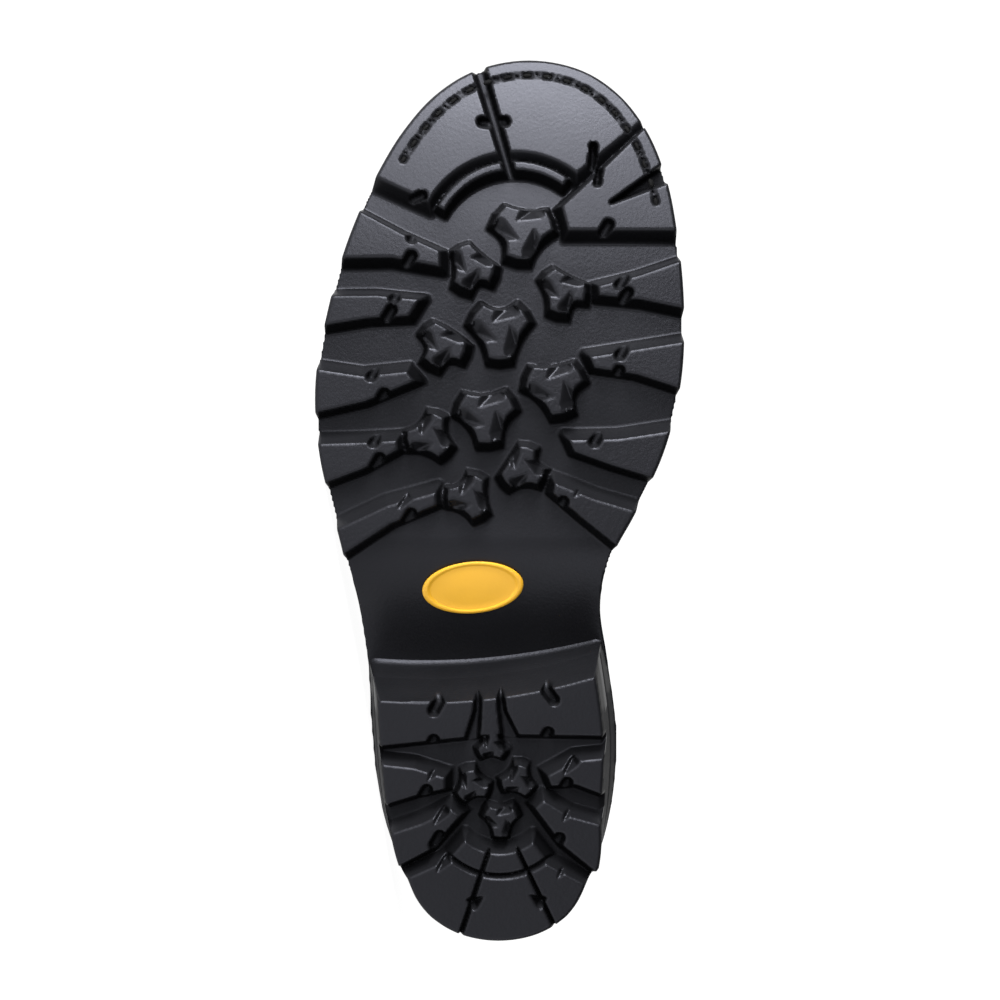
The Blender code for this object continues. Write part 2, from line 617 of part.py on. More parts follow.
def sheet(name, grid, closed):
    """An open surface through a grid of points, closed round its columns if asked."""
    rows, columns = grid.shape[:2]
    faces = []
    for i in range(rows - 1):
        for j in range(columns if closed else columns - 1):
            k = (j + 1) % columns
            faces.append((i * columns + j, i * columns + k, (i + 1) * columns + k, (i + 1) * columns + j))
    mesh = bpy.data.meshes.new(name)
    mesh.from_pydata([Vector(p) * MM for p in grid.reshape(-1, 3)], [], faces)
    return mesh


def thicken(part, thickness, outward):
    """Give an open surface its wall, on its outer or its inner side."""
    wall = part.modifiers.new("wall", "SOLIDIFY")
    wall.thickness = thickness * MM
    wall.offset = 1.0 if outward else -1.0
    wall.use_even_offset = True


def make_upper(parts, welt_top):
    """One hollow wall from the feather edge to the collar, open above and underneath."""
    turns = np.arange(RING_POINTS) * RING_STEP
    rows = np.linspace(0.0, COLLAR_ROW, COLLAR_ROW * RINGS_PER_ROW + 1)
    grid = upper_point(rows[:, None], turns[None, :])
    part = new_part("upper", sheet("upper", grid, True), UPPER_LEATHER, parts, 60)
    thicken(part, WALL, False)
    join_and_cut(part, [], [welt_top])
    return part


def make_counter(parts, welt_top):
    """Overlay round the heel, highest at the back."""
    columns = np.arange(-COUNTER_REACH, COUNTER_REACH + 1)
    turns = columns * RING_STEP
    fall = np.abs(columns / COUNTER_REACH) ** 2.4
    top = COUNTER_TOP_ROW + (COUNTER_END_ROW - COUNTER_TOP_ROW) * fall
    rows = top[None, :] * np.linspace(0.0, 1.0, 9)[:, None]
    grid = upper_point(rows, turns[None, :]) + upper_normal(rows, turns[None, :]) * GAP
    part = new_part("counter", sheet("counter", grid, False), UPPER_LEATHER, parts, 60)
    thicken(part, OVERLAY, True)
    join_and_cut(part, [], [welt_top])
    return part


def make_collar_band(parts):
    """Band round the top of the shaft."""
    turns = np.arange(RING_POINTS) * RING_STEP
    rows = np.linspace(BAND_ROW, COLLAR_ROW, 4)[:, None]
    grid = upper_point(rows, turns[None, :]) + upper_normal(rows, turns[None, :]) * GAP
    part = new_part("collar_band", sheet("collar_band", grid, True), UPPER_LEATHER, parts, 60)
    thicken(part, OVERLAY, True)
    return part


def make_pull_loop(parts):
    """Webbing that runs up outside the collar band, over the top and down inside the shaft."""
    turns = (np.arange(-LOOP_REACH, LOOP_REACH + 1) * RING_STEP)[None, :]
    rows = np.linspace(LOOP_ROW, COLLAR_ROW, 4)[:, None]
    outside = upper_point(rows, turns) + upper_normal(rows, turns) * (OVERLAY + 2.0 * GAP)
    inside = upper_point(rows, turns) - upper_normal(rows, turns) * (WALL + 2.0 * GAP)
    middle, half = (outside[-1] + inside[-1]) / 2.0, (outside[-1] - inside[-1]) / 2.0
    over = []
    for angle in np.linspace(0.0, math.pi, 8)[1:-1]:
        over.append(middle + half * math.cos(angle) + np.array([0.0, 0.0, LOOP_RISE * math.sin(angle)]))
    grid = np.concatenate([outside, np.array(over), inside[::-1]])
    part = new_part("pull_loop", sheet("pull_loop", grid, False), WEBBING, parts, 60)
    thicken(part, LOOP_THICKNESS, True)
    return part


def make_waist_plug(parts):
    """A thin oval that follows the slope of the waist."""
    turns = np.arange(32) * 2.0 * math.pi / 32
    tilt = math.radians(PLUG_TURN)
    rings = []
    for share, lower in ((0.02, 0.0), (0.5, 0.0), (1.0, 0.0), (1.0, 1.0), (0.5, 1.0), (0.02, 1.0)):
        across = share * PLUG_ACROSS / 2.0 * np.cos(turns)
        along = share * PLUG_ALONG / 2.0 * np.sin(turns)
        x = PLUG_X + along * math.cos(tilt) + across * math.sin(tilt)
        y = PLUG_Y + across * math.cos(tilt) - along * math.sin(tilt)
        rings.append(np.column_stack([x, y, base_z(x) - GAP - lower * PLUG_THICK]))
    return new_part("waist_plug", loft("waist_plug", rings), PLUG_RUBBER, parts, 35)


def lay_down(parts, tools):
    """Turn the boot onto its outer side, and set the middle of its box's underside at the origin."""
    up = Vector((FLOOR_ALONG, 1.0, FLOOR_UP)).normalized()
    depth = (Vector((0.0, 0.0, 1.0)) - up * up.z).normalized()
    right = depth.cross(up)
    turn = Matrix((right, depth, up)).to_4x4()
    graph = bpy.context.evaluated_depsgraph_get()
    corners = []
    for part in parts.objects:
        mesh = part.evaluated_get(graph).to_mesh()
        corners += [turn @ vertex.co for vertex in mesh.vertices]
    low = [min(c[axis] for c in corners) for axis in range(3)]
    high = [max(c[axis] for c in corners) for axis in range(3)]
    rest = bpy.data.objects.new("boot_on_its_side", None)
    parts.objects.link(rest)
    place = Matrix.Translation((-(low[0] + high[0]) / 2.0, -(low[1] + high[1]) / 2.0, -low[2]))
    rest.matrix_world = place @ turn
    for piece in [*parts.objects, *tools.objects]:
        if piece is not rest:
            piece.parent = rest


def main():
    for obj in list(bpy.data.objects):
        bpy.data.objects.remove(obj)
    parts = bpy.data.collections.new("insulated_boot")
    tools = bpy.data.collections.new("boot_cutters")
    for collection in (parts, tools):
        bpy.context.scene.collection.children.link(collection)
    make_outsole(parts, tools)
    make_heel(parts, tools)
    make_heel_base(parts, tools)
    make_midsole(parts)
    make_welt(parts, tools)
    make_insole(parts)
    room = inset(SOLE_LOOP, -UPPER_MARGIN[-1][1])
    mesh = plate("welt_top", room, lambda x: welt_z(x) - 4.0 * WELT, lambda x: welt_z(x) + GAP)
    welt_top = tool("welt_top", mesh, tools)
    make_upper(parts, welt_top)
    make_counter(parts, welt_top)
    make_collar_band(parts)
    make_pull_loop(parts)
    make_waist_plug(parts)
    bpy.context.view_layer.update()
    lay_down(parts, tools)


main()
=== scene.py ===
import json
import math

import bpy
import numpy as np
from mathutils import Matrix, Vector


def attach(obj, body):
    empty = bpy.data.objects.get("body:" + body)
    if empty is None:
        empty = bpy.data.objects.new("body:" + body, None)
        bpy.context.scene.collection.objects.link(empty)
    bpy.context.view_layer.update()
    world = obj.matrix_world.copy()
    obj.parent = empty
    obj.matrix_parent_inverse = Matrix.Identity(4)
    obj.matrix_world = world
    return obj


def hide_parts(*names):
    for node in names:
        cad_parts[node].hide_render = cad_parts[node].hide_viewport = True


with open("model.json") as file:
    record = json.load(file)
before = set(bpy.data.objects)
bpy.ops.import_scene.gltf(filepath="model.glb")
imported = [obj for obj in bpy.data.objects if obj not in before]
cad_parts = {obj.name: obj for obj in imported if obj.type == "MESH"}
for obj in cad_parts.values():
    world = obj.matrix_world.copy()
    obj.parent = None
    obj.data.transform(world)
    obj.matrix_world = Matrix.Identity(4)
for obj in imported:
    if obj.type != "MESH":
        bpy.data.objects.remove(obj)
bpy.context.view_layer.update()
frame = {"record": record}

# Insole: a foam footbed with a felt face, die-cut and laid loose between the walls of the upper.
# Only its top shows, down through the collar. Sizes are in millimetres in the boot's own frame:
# x from heel to toe, y from the outer side (negative) to the inner side, z up from the tread.
MM = 0.001
GAP = 0.3
LUG_DEPTH, PLATE, MIDSOLE, WELT, HEEL_HEIGHT = 7.5, 5.0, 4.5, 3.5, 28.0
ARCH_BACK, ARCH_FRONT = 84.0, 134.0
SPRING_START, TOE_END, TOE_SPRING = 220.0, 293.0, 12.0
WALL, INSOLE, INSOLE_STEP, INSOLE_ROUND = 4.5, 6.0, 2.0, 1.5
WALL_LEVELS, LEAST_WALL = (0.25, 0.6, 1.0), 0.2
FLOOR_ALONG, FLOOR_UP = 0.16846, 0.02386
HEEL_TREAD_SPOT = (75.0, 20.0, 0.0)
TOE_TIP, HEEL_TIP = (293.9, 10.0), (-2.0, -0.5)
SOLE_EDGE = [
    (289.2, -10.6, 29.8), (281.6, -21.6, 39.9), (270.2, -31.4, 48.3), (254.0, -40.9, 54.8),
    (234.0, -49.6, 58.6), (210.0, -56.6, 60.7), (186.0, -60.8, 59.7), (162.0, -59.6, 53.8),
    (142.0, -55.0, 44.4), (126.0, -51.0, 36.2), (110.0, -47.6, 33.8), (92.0, -45.2, 36.4),
    (66.0, -43.6, 39.6), (42.0, -40.8, 38.2), (24.0, -35.2, 33.6), (10.0, -27.6, 26.4),
    (1.5, -16.6, 15.6),
]
UPPER_MARGIN = [(0.0, 3.0), (80.0, 3.2), (125.0, 4.0), (180.0, 6.5), (293.0, 6.5)]
FELT, FELT_LIGHT = (0.060, 0.058, 0.056), (0.110, 0.106, 0.100)
# Materials: spread of the roughness, height of the grain, share of the colour on unlit walls as painted
# shade, share of the gloss without rubbed wear and painted sheen, tints of rubber with both and of its gloss
GLOSS_SPREAD, GRAIN_DEPTH, UNLIT, DULL = 0.08, 0.3, 0.3, 0.01
WEAR_AND_SHEEN_TINT, SHINE_TINT = (1.0, 1.01, 1.18), (0.84, 0.86, 1.0, 1.0)

up = np.array([FLOOR_ALONG, 1.0, FLOOR_UP])
up /= np.linalg.norm(up)
depth = np.array([0.0, 0.0, 1.0]) - up * up[2]
depth /= np.linalg.norm(depth)
BOOT_TURN = np.array([np.cross(depth, up), depth, up])
heel_mount = next(m for m in frame["record"]["mounts"] if m["name"] == "heel_tread")
BOOT_PLACE = np.array(heel_mount["pos_m"]) - BOOT_TURN @ np.array(HEEL_TREAD_SPOT) * MM


def to_world(points):
    return np.asarray(points, float) * MM @ BOOT_TURN.T + BOOT_PLACE


def smooth_step(values):
    s = np.clip(values, 0.0, 1.0)
    return s * s * (3.0 - 2.0 * s)


def hermite(start, start_pull, end, end_pull, s):
    """Points on a smooth curve between two ends with given pulls; s is the share along it."""
    return (start * (2 * s**3 - 3 * s**2 + 1) + start_pull * (s**3 - 2 * s**2 + s)
            + end * (3 * s**2 - 2 * s**3) + end_pull * (s**3 - s**2))


def smooth_loop(points, per_span):
    """Points on a smooth closed curve through the given points."""
    p = np.array(points)
    ahead = np.roll(p, -1, axis=0) - p
    length = np.linalg.norm(ahead, axis=1)[:, None]
    behind, length_behind = np.roll(ahead, 1, axis=0), np.roll(length, 1)
    tangent = (behind / length_behind * length + ahead / length * length_behind) / (length + length_behind)
    s = (np.arange(per_span) / per_span)[None, :, None]
    start, end = p[:, None], np.roll(p, -1, axis=0)[:, None]
    pull_start = (tangent * length)[:, None]
    pull_end = (np.roll(tangent, -1, axis=0) * length)[:, None]
    return hermite(start, pull_start, end, pull_end, s).reshape(-1, 2)


def inset(loop, distance):
    """The loop, which runs toe, outer side, heel, inner side, moved in by a distance."""
    along = np.roll(loop, -1, axis=0) - np.roll(loop, 1, axis=0)
    inward = np.stack([along[:, 1], -along[:, 0]], axis=1)
    inward /= np.linalg.norm(inward, axis=1)[:, None]
    return loop + inward * np.broadcast_to(distance, len(loop))[:, None]


def sides(loop):
    """The loop's outer and inner halves, each from heel to toe."""
    turned = np.roll(loop, -int(np.argmax(loop[:, 0])), axis=0)
    heel = int(np.argmin(turned[:, 0]))
    return turned[: heel + 1][::-1], np.vstack([turned[heel:], turned[:1]])


def spring_z(x):
    return TOE_SPRING * np.clip((x - SPRING_START) / (TOE_END - SPRING_START), 0.0, None) ** 2


def base_z(x):
    """Underside of the sole plate: forefoot, waist that climbs to the heel seat, toe spring."""
    climb = smooth_step((ARCH_FRONT - x) / (ARCH_FRONT - ARCH_BACK))
    return LUG_DEPTH + (HEEL_HEIGHT - LUG_DEPTH) * climb + spring_z(x)


def welt_z(x):
    """Top of the welt."""
    return base_z(x) + PLATE + GAP + MIDSOLE + GAP + WELT


SOLE_LOOP = smooth_loop(
    [TOE_TIP] + [(x, outer) for x, outer, _ in SOLE_EDGE]
    + [HEEL_TIP] + [(x, inner) for x, _, inner in reversed(SOLE_EDGE)], 8)
MARGIN = np.interp(SOLE_LOOP[:, 0], *np.array(UPPER_MARGIN).T)
FEATHER_LOOP = inset(SOLE_LOOP, MARGIN)


def piece(name, points, faces, material, sharp=50.0):
    """A smooth-shaded object from points in the boot's frame, riding on the boot."""
    mesh = bpy.data.meshes.new(name)
    mesh.from_pydata(to_world(points).tolist(), [], [tuple(f) for f in faces])
    mesh.validate()
    mesh.materials.append(material)
    mesh.shade_smooth()
    mesh.set_sharp_from_angle(angle=math.radians(sharp))
    obj = bpy.data.objects.new(name, mesh)
    bpy.context.scene.collection.objects.link(obj)
    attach(obj, "root")
    return obj


def feed(tree, target, inputs):
    """Set a node's inputs; an input that is given a socket is linked to it."""
    for key, value in inputs.items():
        if isinstance(value, bpy.types.NodeSocket):
            tree.links.new(value, target.inputs[key])
        else:
            target.inputs[key].default_value = value


def node(tree, kind, inputs=None, **settings):
    made = tree.nodes.new(kind)
    for key, value in settings.items():
        setattr(made, key, value)
    feed(tree, made, inputs or {})
    return made


def blend(tree, share, low, high):
    """The colour between two colours."""
    mix = node(tree, "ShaderNodeMix", {"Factor": share, "A": low, "B": high}, data_type="RGBA")
    return mix.outputs["Result"]


def finish(name, dark, light, roughness, patch_scale, grain_scale, grain, sheen=0.0, wear_and_sheen=0.0, shine=0.5):
    """A grained material: two tones in soft patches, uneven gloss and a fine bump.

    The colour for rubbed wear with painted sheen goes where the mesh's mask for them is high; the gloss
    follows it too. Where its attribute lit is low the colour is deeper: painted shade."""
    material = bpy.data.materials.new(name)
    material.use_nodes = True
    tree = material.node_tree
    shader = tree.nodes["Principled BSDF"]
    place = node(tree, "ShaderNodeTexCoord").outputs["Object"]
    patches = node(tree, "ShaderNodeTexNoise", {"Vector": place, "Scale": patch_scale, "Detail": 5.0})
    patches = patches.outputs["Fac"]
    tone = node(tree, "ShaderNodeMapRange", {"Value": patches, "From Min": 0.35, "From Max": 0.70})
    colour = blend(tree, tone.outputs["Result"], (*dark, 1.0), (*light, 1.0))
    gloss = node(tree, "ShaderNodeMapRange", {
        "Value": patches, "To Min": roughness - GLOSS_SPREAD, "To Max": roughness + GLOSS_SPREAD})
    fine = node(tree, "ShaderNodeTexNoise", {"Vector": place, "Scale": grain_scale, "Detail": 3.0})
    bump = node(tree, "ShaderNodeBump", {
        "Height": fine.outputs["Fac"], "Strength": grain, "Distance": GRAIN_DEPTH * MM})
    feed(tree, shader, {
        "Roughness": gloss.outputs["Result"], "Normal": bump.outputs["Normal"],
        "Sheen Weight": sheen, "Specular IOR Level": shine})
    if wear_and_sheen:
        wear_and_sheen_mask, lit = (node(tree, "ShaderNodeAttribute", attribute_name=layer).outputs["Fac"]
                       for layer in ("wear_and_sheen", "lit"))
        # Painted shade: the colour deepens on walls that face away from the toe light.
        colour = blend(tree, lit, (*[UNLIT * part for part in dark], 1.0), colour)
        # Rubbed wear with painted sheen: the mask sets this tone and, below, the gloss.
        colour = blend(tree, wear_and_sheen_mask, colour, (*[wear_and_sheen * part for part in WEAR_AND_SHEEN_TINT], 1.0))
        shine_up = node(tree, "ShaderNodeMapRange", {
            "Value": wear_and_sheen_mask, "To Min": DULL * shine, "To Max": shine})
        feed(tree, shader, {
            "Specular IOR Level": shine_up.outputs["Result"], "Specular Tint": SHINE_TINT})
    feed(tree, shader, {"Base Color": colour})
    return material


def nearest(points, loop):
    """For each point the loop's nearest side, how far along it, and the distance."""
    side, share, gap = [], [], []
    along = np.roll(loop, -1, axis=0) - loop
    length2 = np.maximum((along ** 2).sum(axis=1), 1e-12)
    for chunk in np.array_split(points, len(points) // 20000 + 1):
        reach = chunk[:, None] - loop[None]
        s = np.clip((reach * along).sum(axis=2) / length2, 0.0, 1.0)
        off = ((reach - s[..., None] * along) ** 2).sum(axis=2)
        best = off.argmin(axis=1)
        rows = np.arange(len(chunk))
        side.append(best)
        share.append(s[rows, best])
        gap.append(np.sqrt(off[rows, best]))
    return np.concatenate(side), np.concatenate(share), np.concatenate(gap)


def on_loop(loop, side, share):
    return loop[side] + (np.roll(loop, -1, axis=0) - loop)[side] * share[:, None]


def relief_plate(loop, x_lines, y_lines, relief, far, edge_round, loop_far=None, far_is_up=True,
                 tidy=None, hub=None):
    """A plate in fine squares on its shown face, with a wall round it and strips across the far face.

    relief(xy) and far(xy) give the heights of the two faces. The wall goes from loop to loop_far.
    tidy(xy) may move points that are clear of the edge. With a hub, the far face is a fan to it.
    Also returns how many points, the first ones, are on the shown face."""
    loop_far = loop if loop_far is None else loop_far
    upward = 1.0 if far_is_up else -1.0
    outer, inner = sides(loop)
    columns = len(y_lines)
    middle_x = (x_lines[1:] + x_lines[:-1]) / 2.0
    middle_y = (y_lines[1:] + y_lines[:-1]) / 2.0
    low = np.interp(middle_x, *outer.T, left=math.inf, right=math.inf)
    high = np.interp(middle_x, *inner.T, left=-math.inf, right=-math.inf)
    keep = (middle_y[None] > low[:, None]) & (middle_y[None] < high[:, None])
    i, j = np.nonzero(keep)
    corner = i * columns + j
    quads = np.stack([corner, corner + columns, corner + columns + 1, corner + 1], axis=1)
    used, quads = np.unique(quads, return_inverse=True)
    quads = quads.reshape(-1, 4)
    xy = np.stack([x_lines[used // columns], y_lines[used % columns]], axis=1)
    edges = np.concatenate([quads[:, [k, (k + 1) % 4]] for k in range(4)])
    total = len(xy)
    single = ~np.isin(edges[:, 0] * total + edges[:, 1], edges[:, 1] * total + edges[:, 0])
    follow = dict(edges[single].tolist())
    rim = [min(follow, key=lambda v: xy[v, 0])]
    while follow[rim[-1]] != rim[0]:
        rim.append(follow[rim[-1]])
    side, share, gap = nearest(xy, loop)
    xy[rim] = on_loop(loop, side[rim], share[rim])
    gap[rim] = 0.0
    lean = np.clip(edge_round - gap, 0.0, edge_round)
    rounding = edge_round - np.sqrt(edge_round ** 2 - lean ** 2)
    if tidy is not None:
        free = np.nonzero(gap > edge_round)[0]
        xy[free] = tidy(xy[free])
    shown = relief(xy) + rounding * upward
    rim = np.array(rim)
    rim_far = on_loop(loop_far, side[rim], share[rim])
    far_z = far(rim_far)
    points = [np.column_stack([xy, shown])]
    rise = np.maximum((far_z - shown[rim]) * upward, LEAST_WALL)
    start = xy[rim] + (rim_far - xy[rim]) * (1.0 - rise / rise.max())[:, None]
    points[0][rim, :2] = start
    count = len(rim)
    for level in WALL_LEVELS:
        flat = start + (rim_far - start) * level
        points.append(np.column_stack([flat, shown[rim] + (far_z - shown[rim]) * level]))
    faces = (quads[:, ::-1] if far_is_up else quads).tolist()
    rows = [rim] + [total + count * k + np.arange(count) for k in range(len(WALL_LEVELS))]
    for below, above in zip(rows, rows[1:]):
        ring = np.stack([below, np.roll(below, -1), np.roll(above, -1), above], axis=1)
        faces += (ring if far_is_up else ring[:, ::-1]).tolist()
    last = rows[-1]
    if hub is not None:
        points.append(np.array([[*hub, far(np.array([hub]))[0]]]))
        middle = total + count * len(WALL_LEVELS)
        faces += [[last[i], last[(i + 1) % count], middle] for i in range(count)]
        return np.vstack(points), faces, total
    toe = int(np.argmax(rim_far[:, 0]))
    one, two = list(range(0, toe + 1)), [0] + list(range(count - 1, toe - 1, -1))
    a = b = 0
    while a < len(one) - 1 or b < len(two) - 1:
        step_one = b == len(two) - 1 or (
            a < len(one) - 1 and rim_far[one[a + 1], 0] < rim_far[two[b + 1], 0])
        ahead = one[a + 1] if step_one else two[b + 1]
        if len({one[a], two[b], ahead}) == 3:
            strip = [last[one[a]], last[ahead], last[two[b]]]
            faces.append(strip if far_is_up else strip[::-1])
        a, b = (a + 1, b) if step_one else (a, b + 1)
    return np.vstack(points), faces, total


def lines(start, end, step):
    return np.linspace(start, end, int(round((end - start) / step)) + 1)


insole_points, insole_faces, _ = relief_plate(
    inset(FEATHER_LOOP, WALL + 3.0 * GAP), lines(-2.0, 292.0, INSOLE_STEP), lines(-62.0, 62.0, INSOLE_STEP),
    lambda xy: welt_z(xy[:, 0]) - WELT + INSOLE, lambda xy: welt_z(xy[:, 0]) - WELT, INSOLE_ROUND,
    far_is_up=False)
felt = finish("insole_felt", FELT, FELT_LIGHT, 0.94, 90.0, 900.0, 0.5, 0.2)
insole = piece("insole_felt", insole_points, insole_faces, felt)
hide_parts("insole")

# Upper: waterproof leather, lasted over the foot and sewn up with flat seams at the sides and back.
# It bends at the ball and at the ankle, so soft creases run across the vamp and round the ankle.
UPPER_RINGS = [
    (0.0, 0.0, 0.0, 0.0, 54.6, 0.0, 1.0, 0.0),
    (-1.5, 56.0, 288.0, 44.0, 55.2, 0.0, 0.85, 0.0),
    (-2.0, 72.0, 284.0, 58.0, 53.0, 0.06, 0.62, 0.0),
    (-1.0, 88.0, 272.0, 69.0, 48.6, 0.18, 0.42, -0.4),
    (1.5, 104.0, 251.0, 77.5, 45.0, 0.34, 0.24, -1.0),
    (5.0, 120.0, 224.0, 86.0, 42.6, 0.50, 0.10, -1.8),
    (8.0, 136.0, 197.0, 97.0, 41.4, 0.66, 0.0, -2.4),
    (9.5, 152.0, 172.0, 114.0, 41.2, 0.78, 0.0, -2.8),
    (9.5, 168.0, 154.5, 138.0, 41.4, 0.87, 0.0, -3.0),
    (8.5, 186.0, 144.0, 166.0, 42.0, 0.93, 0.0, -3.2),
    (6.5, 206.0, 138.0, 196.0, 42.6, 0.97, 0.0, -3.4),
    (4.0, 228.0, 135.0, 226.0, 43.2, 1.0, 0.0, -3.5),
    (1.5, 250.0, 134.0, 254.0, 43.8, 1.0, 0.0, -3.5),
]
COLLAR_ROW = len(UPPER_RINGS) - 1
FEATHER_TRIM, LEATHER_THICK = 0.4, 2.3
UPPER_ROWS, UPPER_COLUMNS, INNER_CREASE = 150, 200, 0.6
LEATHER, LEATHER_LIGHT = (0.011, 0.0105, 0.010), (0.019, 0.018, 0.017)
# Creases: row at the front, middle turn, half span of turn, depth, half width in rows, bend
CREASES = [
    (4.15, 3.14, 0.62, -1.5, 0.22, 0.5),
    (4.55, 3.14, 0.55, 0.9, 0.20, 0.5),
    (4.95, 3.10, 0.60, -1.4, 0.20, 0.4),
    (6.75, 3.14, 0.95, -1.8, 0.24, 0.30),
    (7.20, 3.20, 0.85, 1.3, 0.24, 0.25),
    (7.65, 3.10, 1.00, -1.9, 0.22, 0.30),
    (8.15, 3.14, 0.80, 0.9, 0.25, 0.20),
    (8.60, 3.25, 0.70, -1.0, 0.25, 0.25),
    (6.30, 0.40, 0.75, -1.1, 0.28, 0.10),
    (7.10, 5.90, 0.70, -0.9, 0.26, 0.10),
]


def smooth_rows(table, position):
    """A table's columns read between its rows along a smooth curve."""
    rows = np.array(table)
    first = np.clip(np.floor(position).astype(int), 0, len(rows) - 2)
    s = (position - first)[..., None]
    slope = np.gradient(rows, axis=0)
    return hermite(rows[first], slope[first], rows[first + 1], slope[first + 1], s)


def upper_point(row, turn):
    """Points of the upper's outer face: row counts up its rings, turn goes round from the back."""
    row, turn = np.broadcast_arrays(np.asarray(row, float), np.asarray(turn, float))
    outer, inner = sides(FEATHER_LOOP)
    heel_x, toe_x = outer[0, 0], outer[-1, 0]
    rings = np.array(UPPER_RINGS)
    rings[0, :4] = [heel_x, welt_z(heel_x) - FEATHER_TRIM, toe_x, welt_z(toe_x) - FEATHER_TRIM]
    back_x, back_z, front_x, front_z, half, oval, sag, middle = np.moveaxis(smooth_rows(rings, row), -1, 0)
    along = (1.0 - np.cos(turn)) / 2.0
    plan_x = heel_x + (toe_x - heel_x) * along
    outer_y, inner_y = np.interp(plan_x, *outer.T), np.interp(plan_x, *inner.T)
    spots = np.linspace(heel_x, toe_x, 200)
    widest = (np.interp(spots, *inner.T) - np.interp(spots, *outer.T)).max()
    shape = (1.0 - oval) * (inner_y - outer_y) / widest + oval * np.abs(np.sin(turn))
    centre = (1.0 - oval) * (inner_y + outer_y) / 2.0 + middle
    y = centre - np.sign(np.sin(turn)) * half * shape
    seat_line = welt_z(heel_x) + (welt_z(toe_x) - welt_z(heel_x)) * along
    z = back_z + (front_z - back_z) * along + sag * (welt_z(plan_x) - seat_line)
    return np.stack([back_x + (front_x - back_x) * along, y, z], axis=-1)


def upper_normal(row, turn):
    step = 0.02
    low, high = np.clip(row - step, 0.0, COLLAR_ROW), np.clip(row + step, 0.0, COLLAR_ROW)
    rise = upper_point(high, turn) - upper_point(low, turn)
    normal = np.cross(upper_point(row, turn + step) - upper_point(row, turn - step), rise)
    return normal / np.linalg.norm(normal, axis=-1)[..., None]


def crease_depth(row, turn):
    """How far the leather stands out of or in from its smooth form."""
    lift = np.zeros(np.broadcast(row, turn).shape)
    for at, middle, span, deep, wide, bend in CREASES:
        off = (turn - middle + math.pi) % (2.0 * math.pi) - math.pi
        window = smooth_step(1.0 - np.abs(off) / span)
        lift += deep * window * np.exp(-((row - at + bend * off ** 2) / wide) ** 2)
    return lift


def on_upper(row, turn, lift):
    """Points on the creased leather, lifted off it."""
    row, turn = np.broadcast_arrays(np.asarray(row, float), np.asarray(turn, float))
    out = crease_depth(row, turn) + lift
    return upper_point(row, turn) + upper_normal(row, turn) * out[..., None]


def panel_faces(count, columns, closed):
    """Faces between rows of points; a closed panel also joins its last column to its first."""
    faces = []
    for row in range(0, (count - 1) * columns, columns):
        for j in range(columns if closed else columns - 1):
            k = (j + 1) % columns
            faces.append((row + j, row + k, row + columns + k, row + columns + j))
    return faces


def shell(grids):
    """A closed wall from grids of points, taken outside up, then inside down, closed round."""
    rows = np.concatenate(grids)
    count, columns = rows.shape[:2]
    faces = panel_faces(count + 1, columns, True)
    return rows.reshape(-1, 3), [tuple(v % (count * columns) for v in face) for face in faces]


turns = np.arange(UPPER_COLUMNS)[None] * 2.0 * math.pi / UPPER_COLUMNS
rows = np.linspace(0.0, COLLAR_ROW, UPPER_ROWS)[:, None]
outside = on_upper(rows, turns, 0.0)
inside = on_upper(rows, turns, (INNER_CREASE - 1.0) * crease_depth(rows, turns) - LEATHER_THICK)
leather = finish("upper_leather", LEATHER, LEATHER_LIGHT, 0.44, 35.0, 620.0, 0.85)
upper = piece("upper_leather", *shell([outside, inside[::-1]]), leather)
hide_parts("upper")

# Lining: quilted insulation faced with brushed fleece, glued inside the leather wall.
# It shows through the collar as a dark, matt and soft surface, and rolls over at its top edge.
LINING_FROM, LINING_TO, LINING_ROLL, LINING_COLUMNS = 2.4, 4.5, 0.3, 120
FLEECE, FLEECE_LIGHT = (0.030, 0.030, 0.032), (0.055, 0.055, 0.058)
lining_rows = np.r_[np.linspace(0.12, COLLAR_ROW - 0.1, 60), COLLAR_ROW - 0.03][:, None]
lining_turns = np.arange(LINING_COLUMNS)[None] * 2.0 * math.pi / LINING_COLUMNS
sag = (INNER_CREASE - 1.0) * crease_depth(lining_rows, lining_turns)
lining_back, lining_face = (
    on_upper(lining_rows, lining_turns, sag - deep) for deep in (LINING_FROM, LINING_TO))
lining_face[-1] = lining_face[-1] * (1.0 - LINING_ROLL) + lining_back[-1] * LINING_ROLL
fleece = finish("lining_fleece", FLEECE, FLEECE_LIGHT, 0.95, 120.0, 1100.0, 0.8, 0.4)
lining = piece("lining_fleece", *shell([lining_back, lining_face[::-1]]), fleece)
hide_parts("upper")

# Counter: a leather overlay that stiffens the heel, skived at its edge, glued and sewn on the upper.
# It is highest at the back and runs down to the welt on both sides.
OVERLAY = 1.5
RING_STEP = 2.0 * math.pi / 48
COUNTER_REACH, COUNTER_TOP_ROW, COUNTER_END_ROW, COUNTER_FALL = 9 * RING_STEP, 4.1, 1.5, 2.4
# Rounding of a panel's edge: share across the panel, lift
EDGE_LIFTS = [(0.0, 0.0), (0.0, 0.7), (0.006, 0.93), (0.018, 1.0)]


def counter_top(turn):
    fall = np.abs(turn / COUNTER_REACH) ** COUNTER_FALL
    return COUNTER_TOP_ROW + (COUNTER_END_ROW - COUNTER_TOP_ROW) * fall


def edged(middle, start, end):
    """Shares across a panel with their lifts: the edge's rounding, scaled, at its ends."""
    first = [(start * share, lift) for share, lift in EDGE_LIFTS] if start else []
    last = [(1.0 - end * share, lift) for share, lift in reversed(EDGE_LIFTS)]
    return np.array([*first, *[(share, 1.0) for share in middle], *last])


def overlay(shares_up, shares_round, row_of, turn_of, raised=1.0):
    """A panel on the upper, from shares with their lifts; raised is 0 for its back."""
    lifts = np.minimum(shares_up[:, 1][:, None], shares_round[:, 1][None])
    turn = turn_of(shares_round[:, 0])[None]
    row = row_of(shares_up[:, 0][:, None], turn)
    return on_upper(row, turn, GAP * (0.5 + 0.5 * raised) + OVERLAY * raised * lifts)


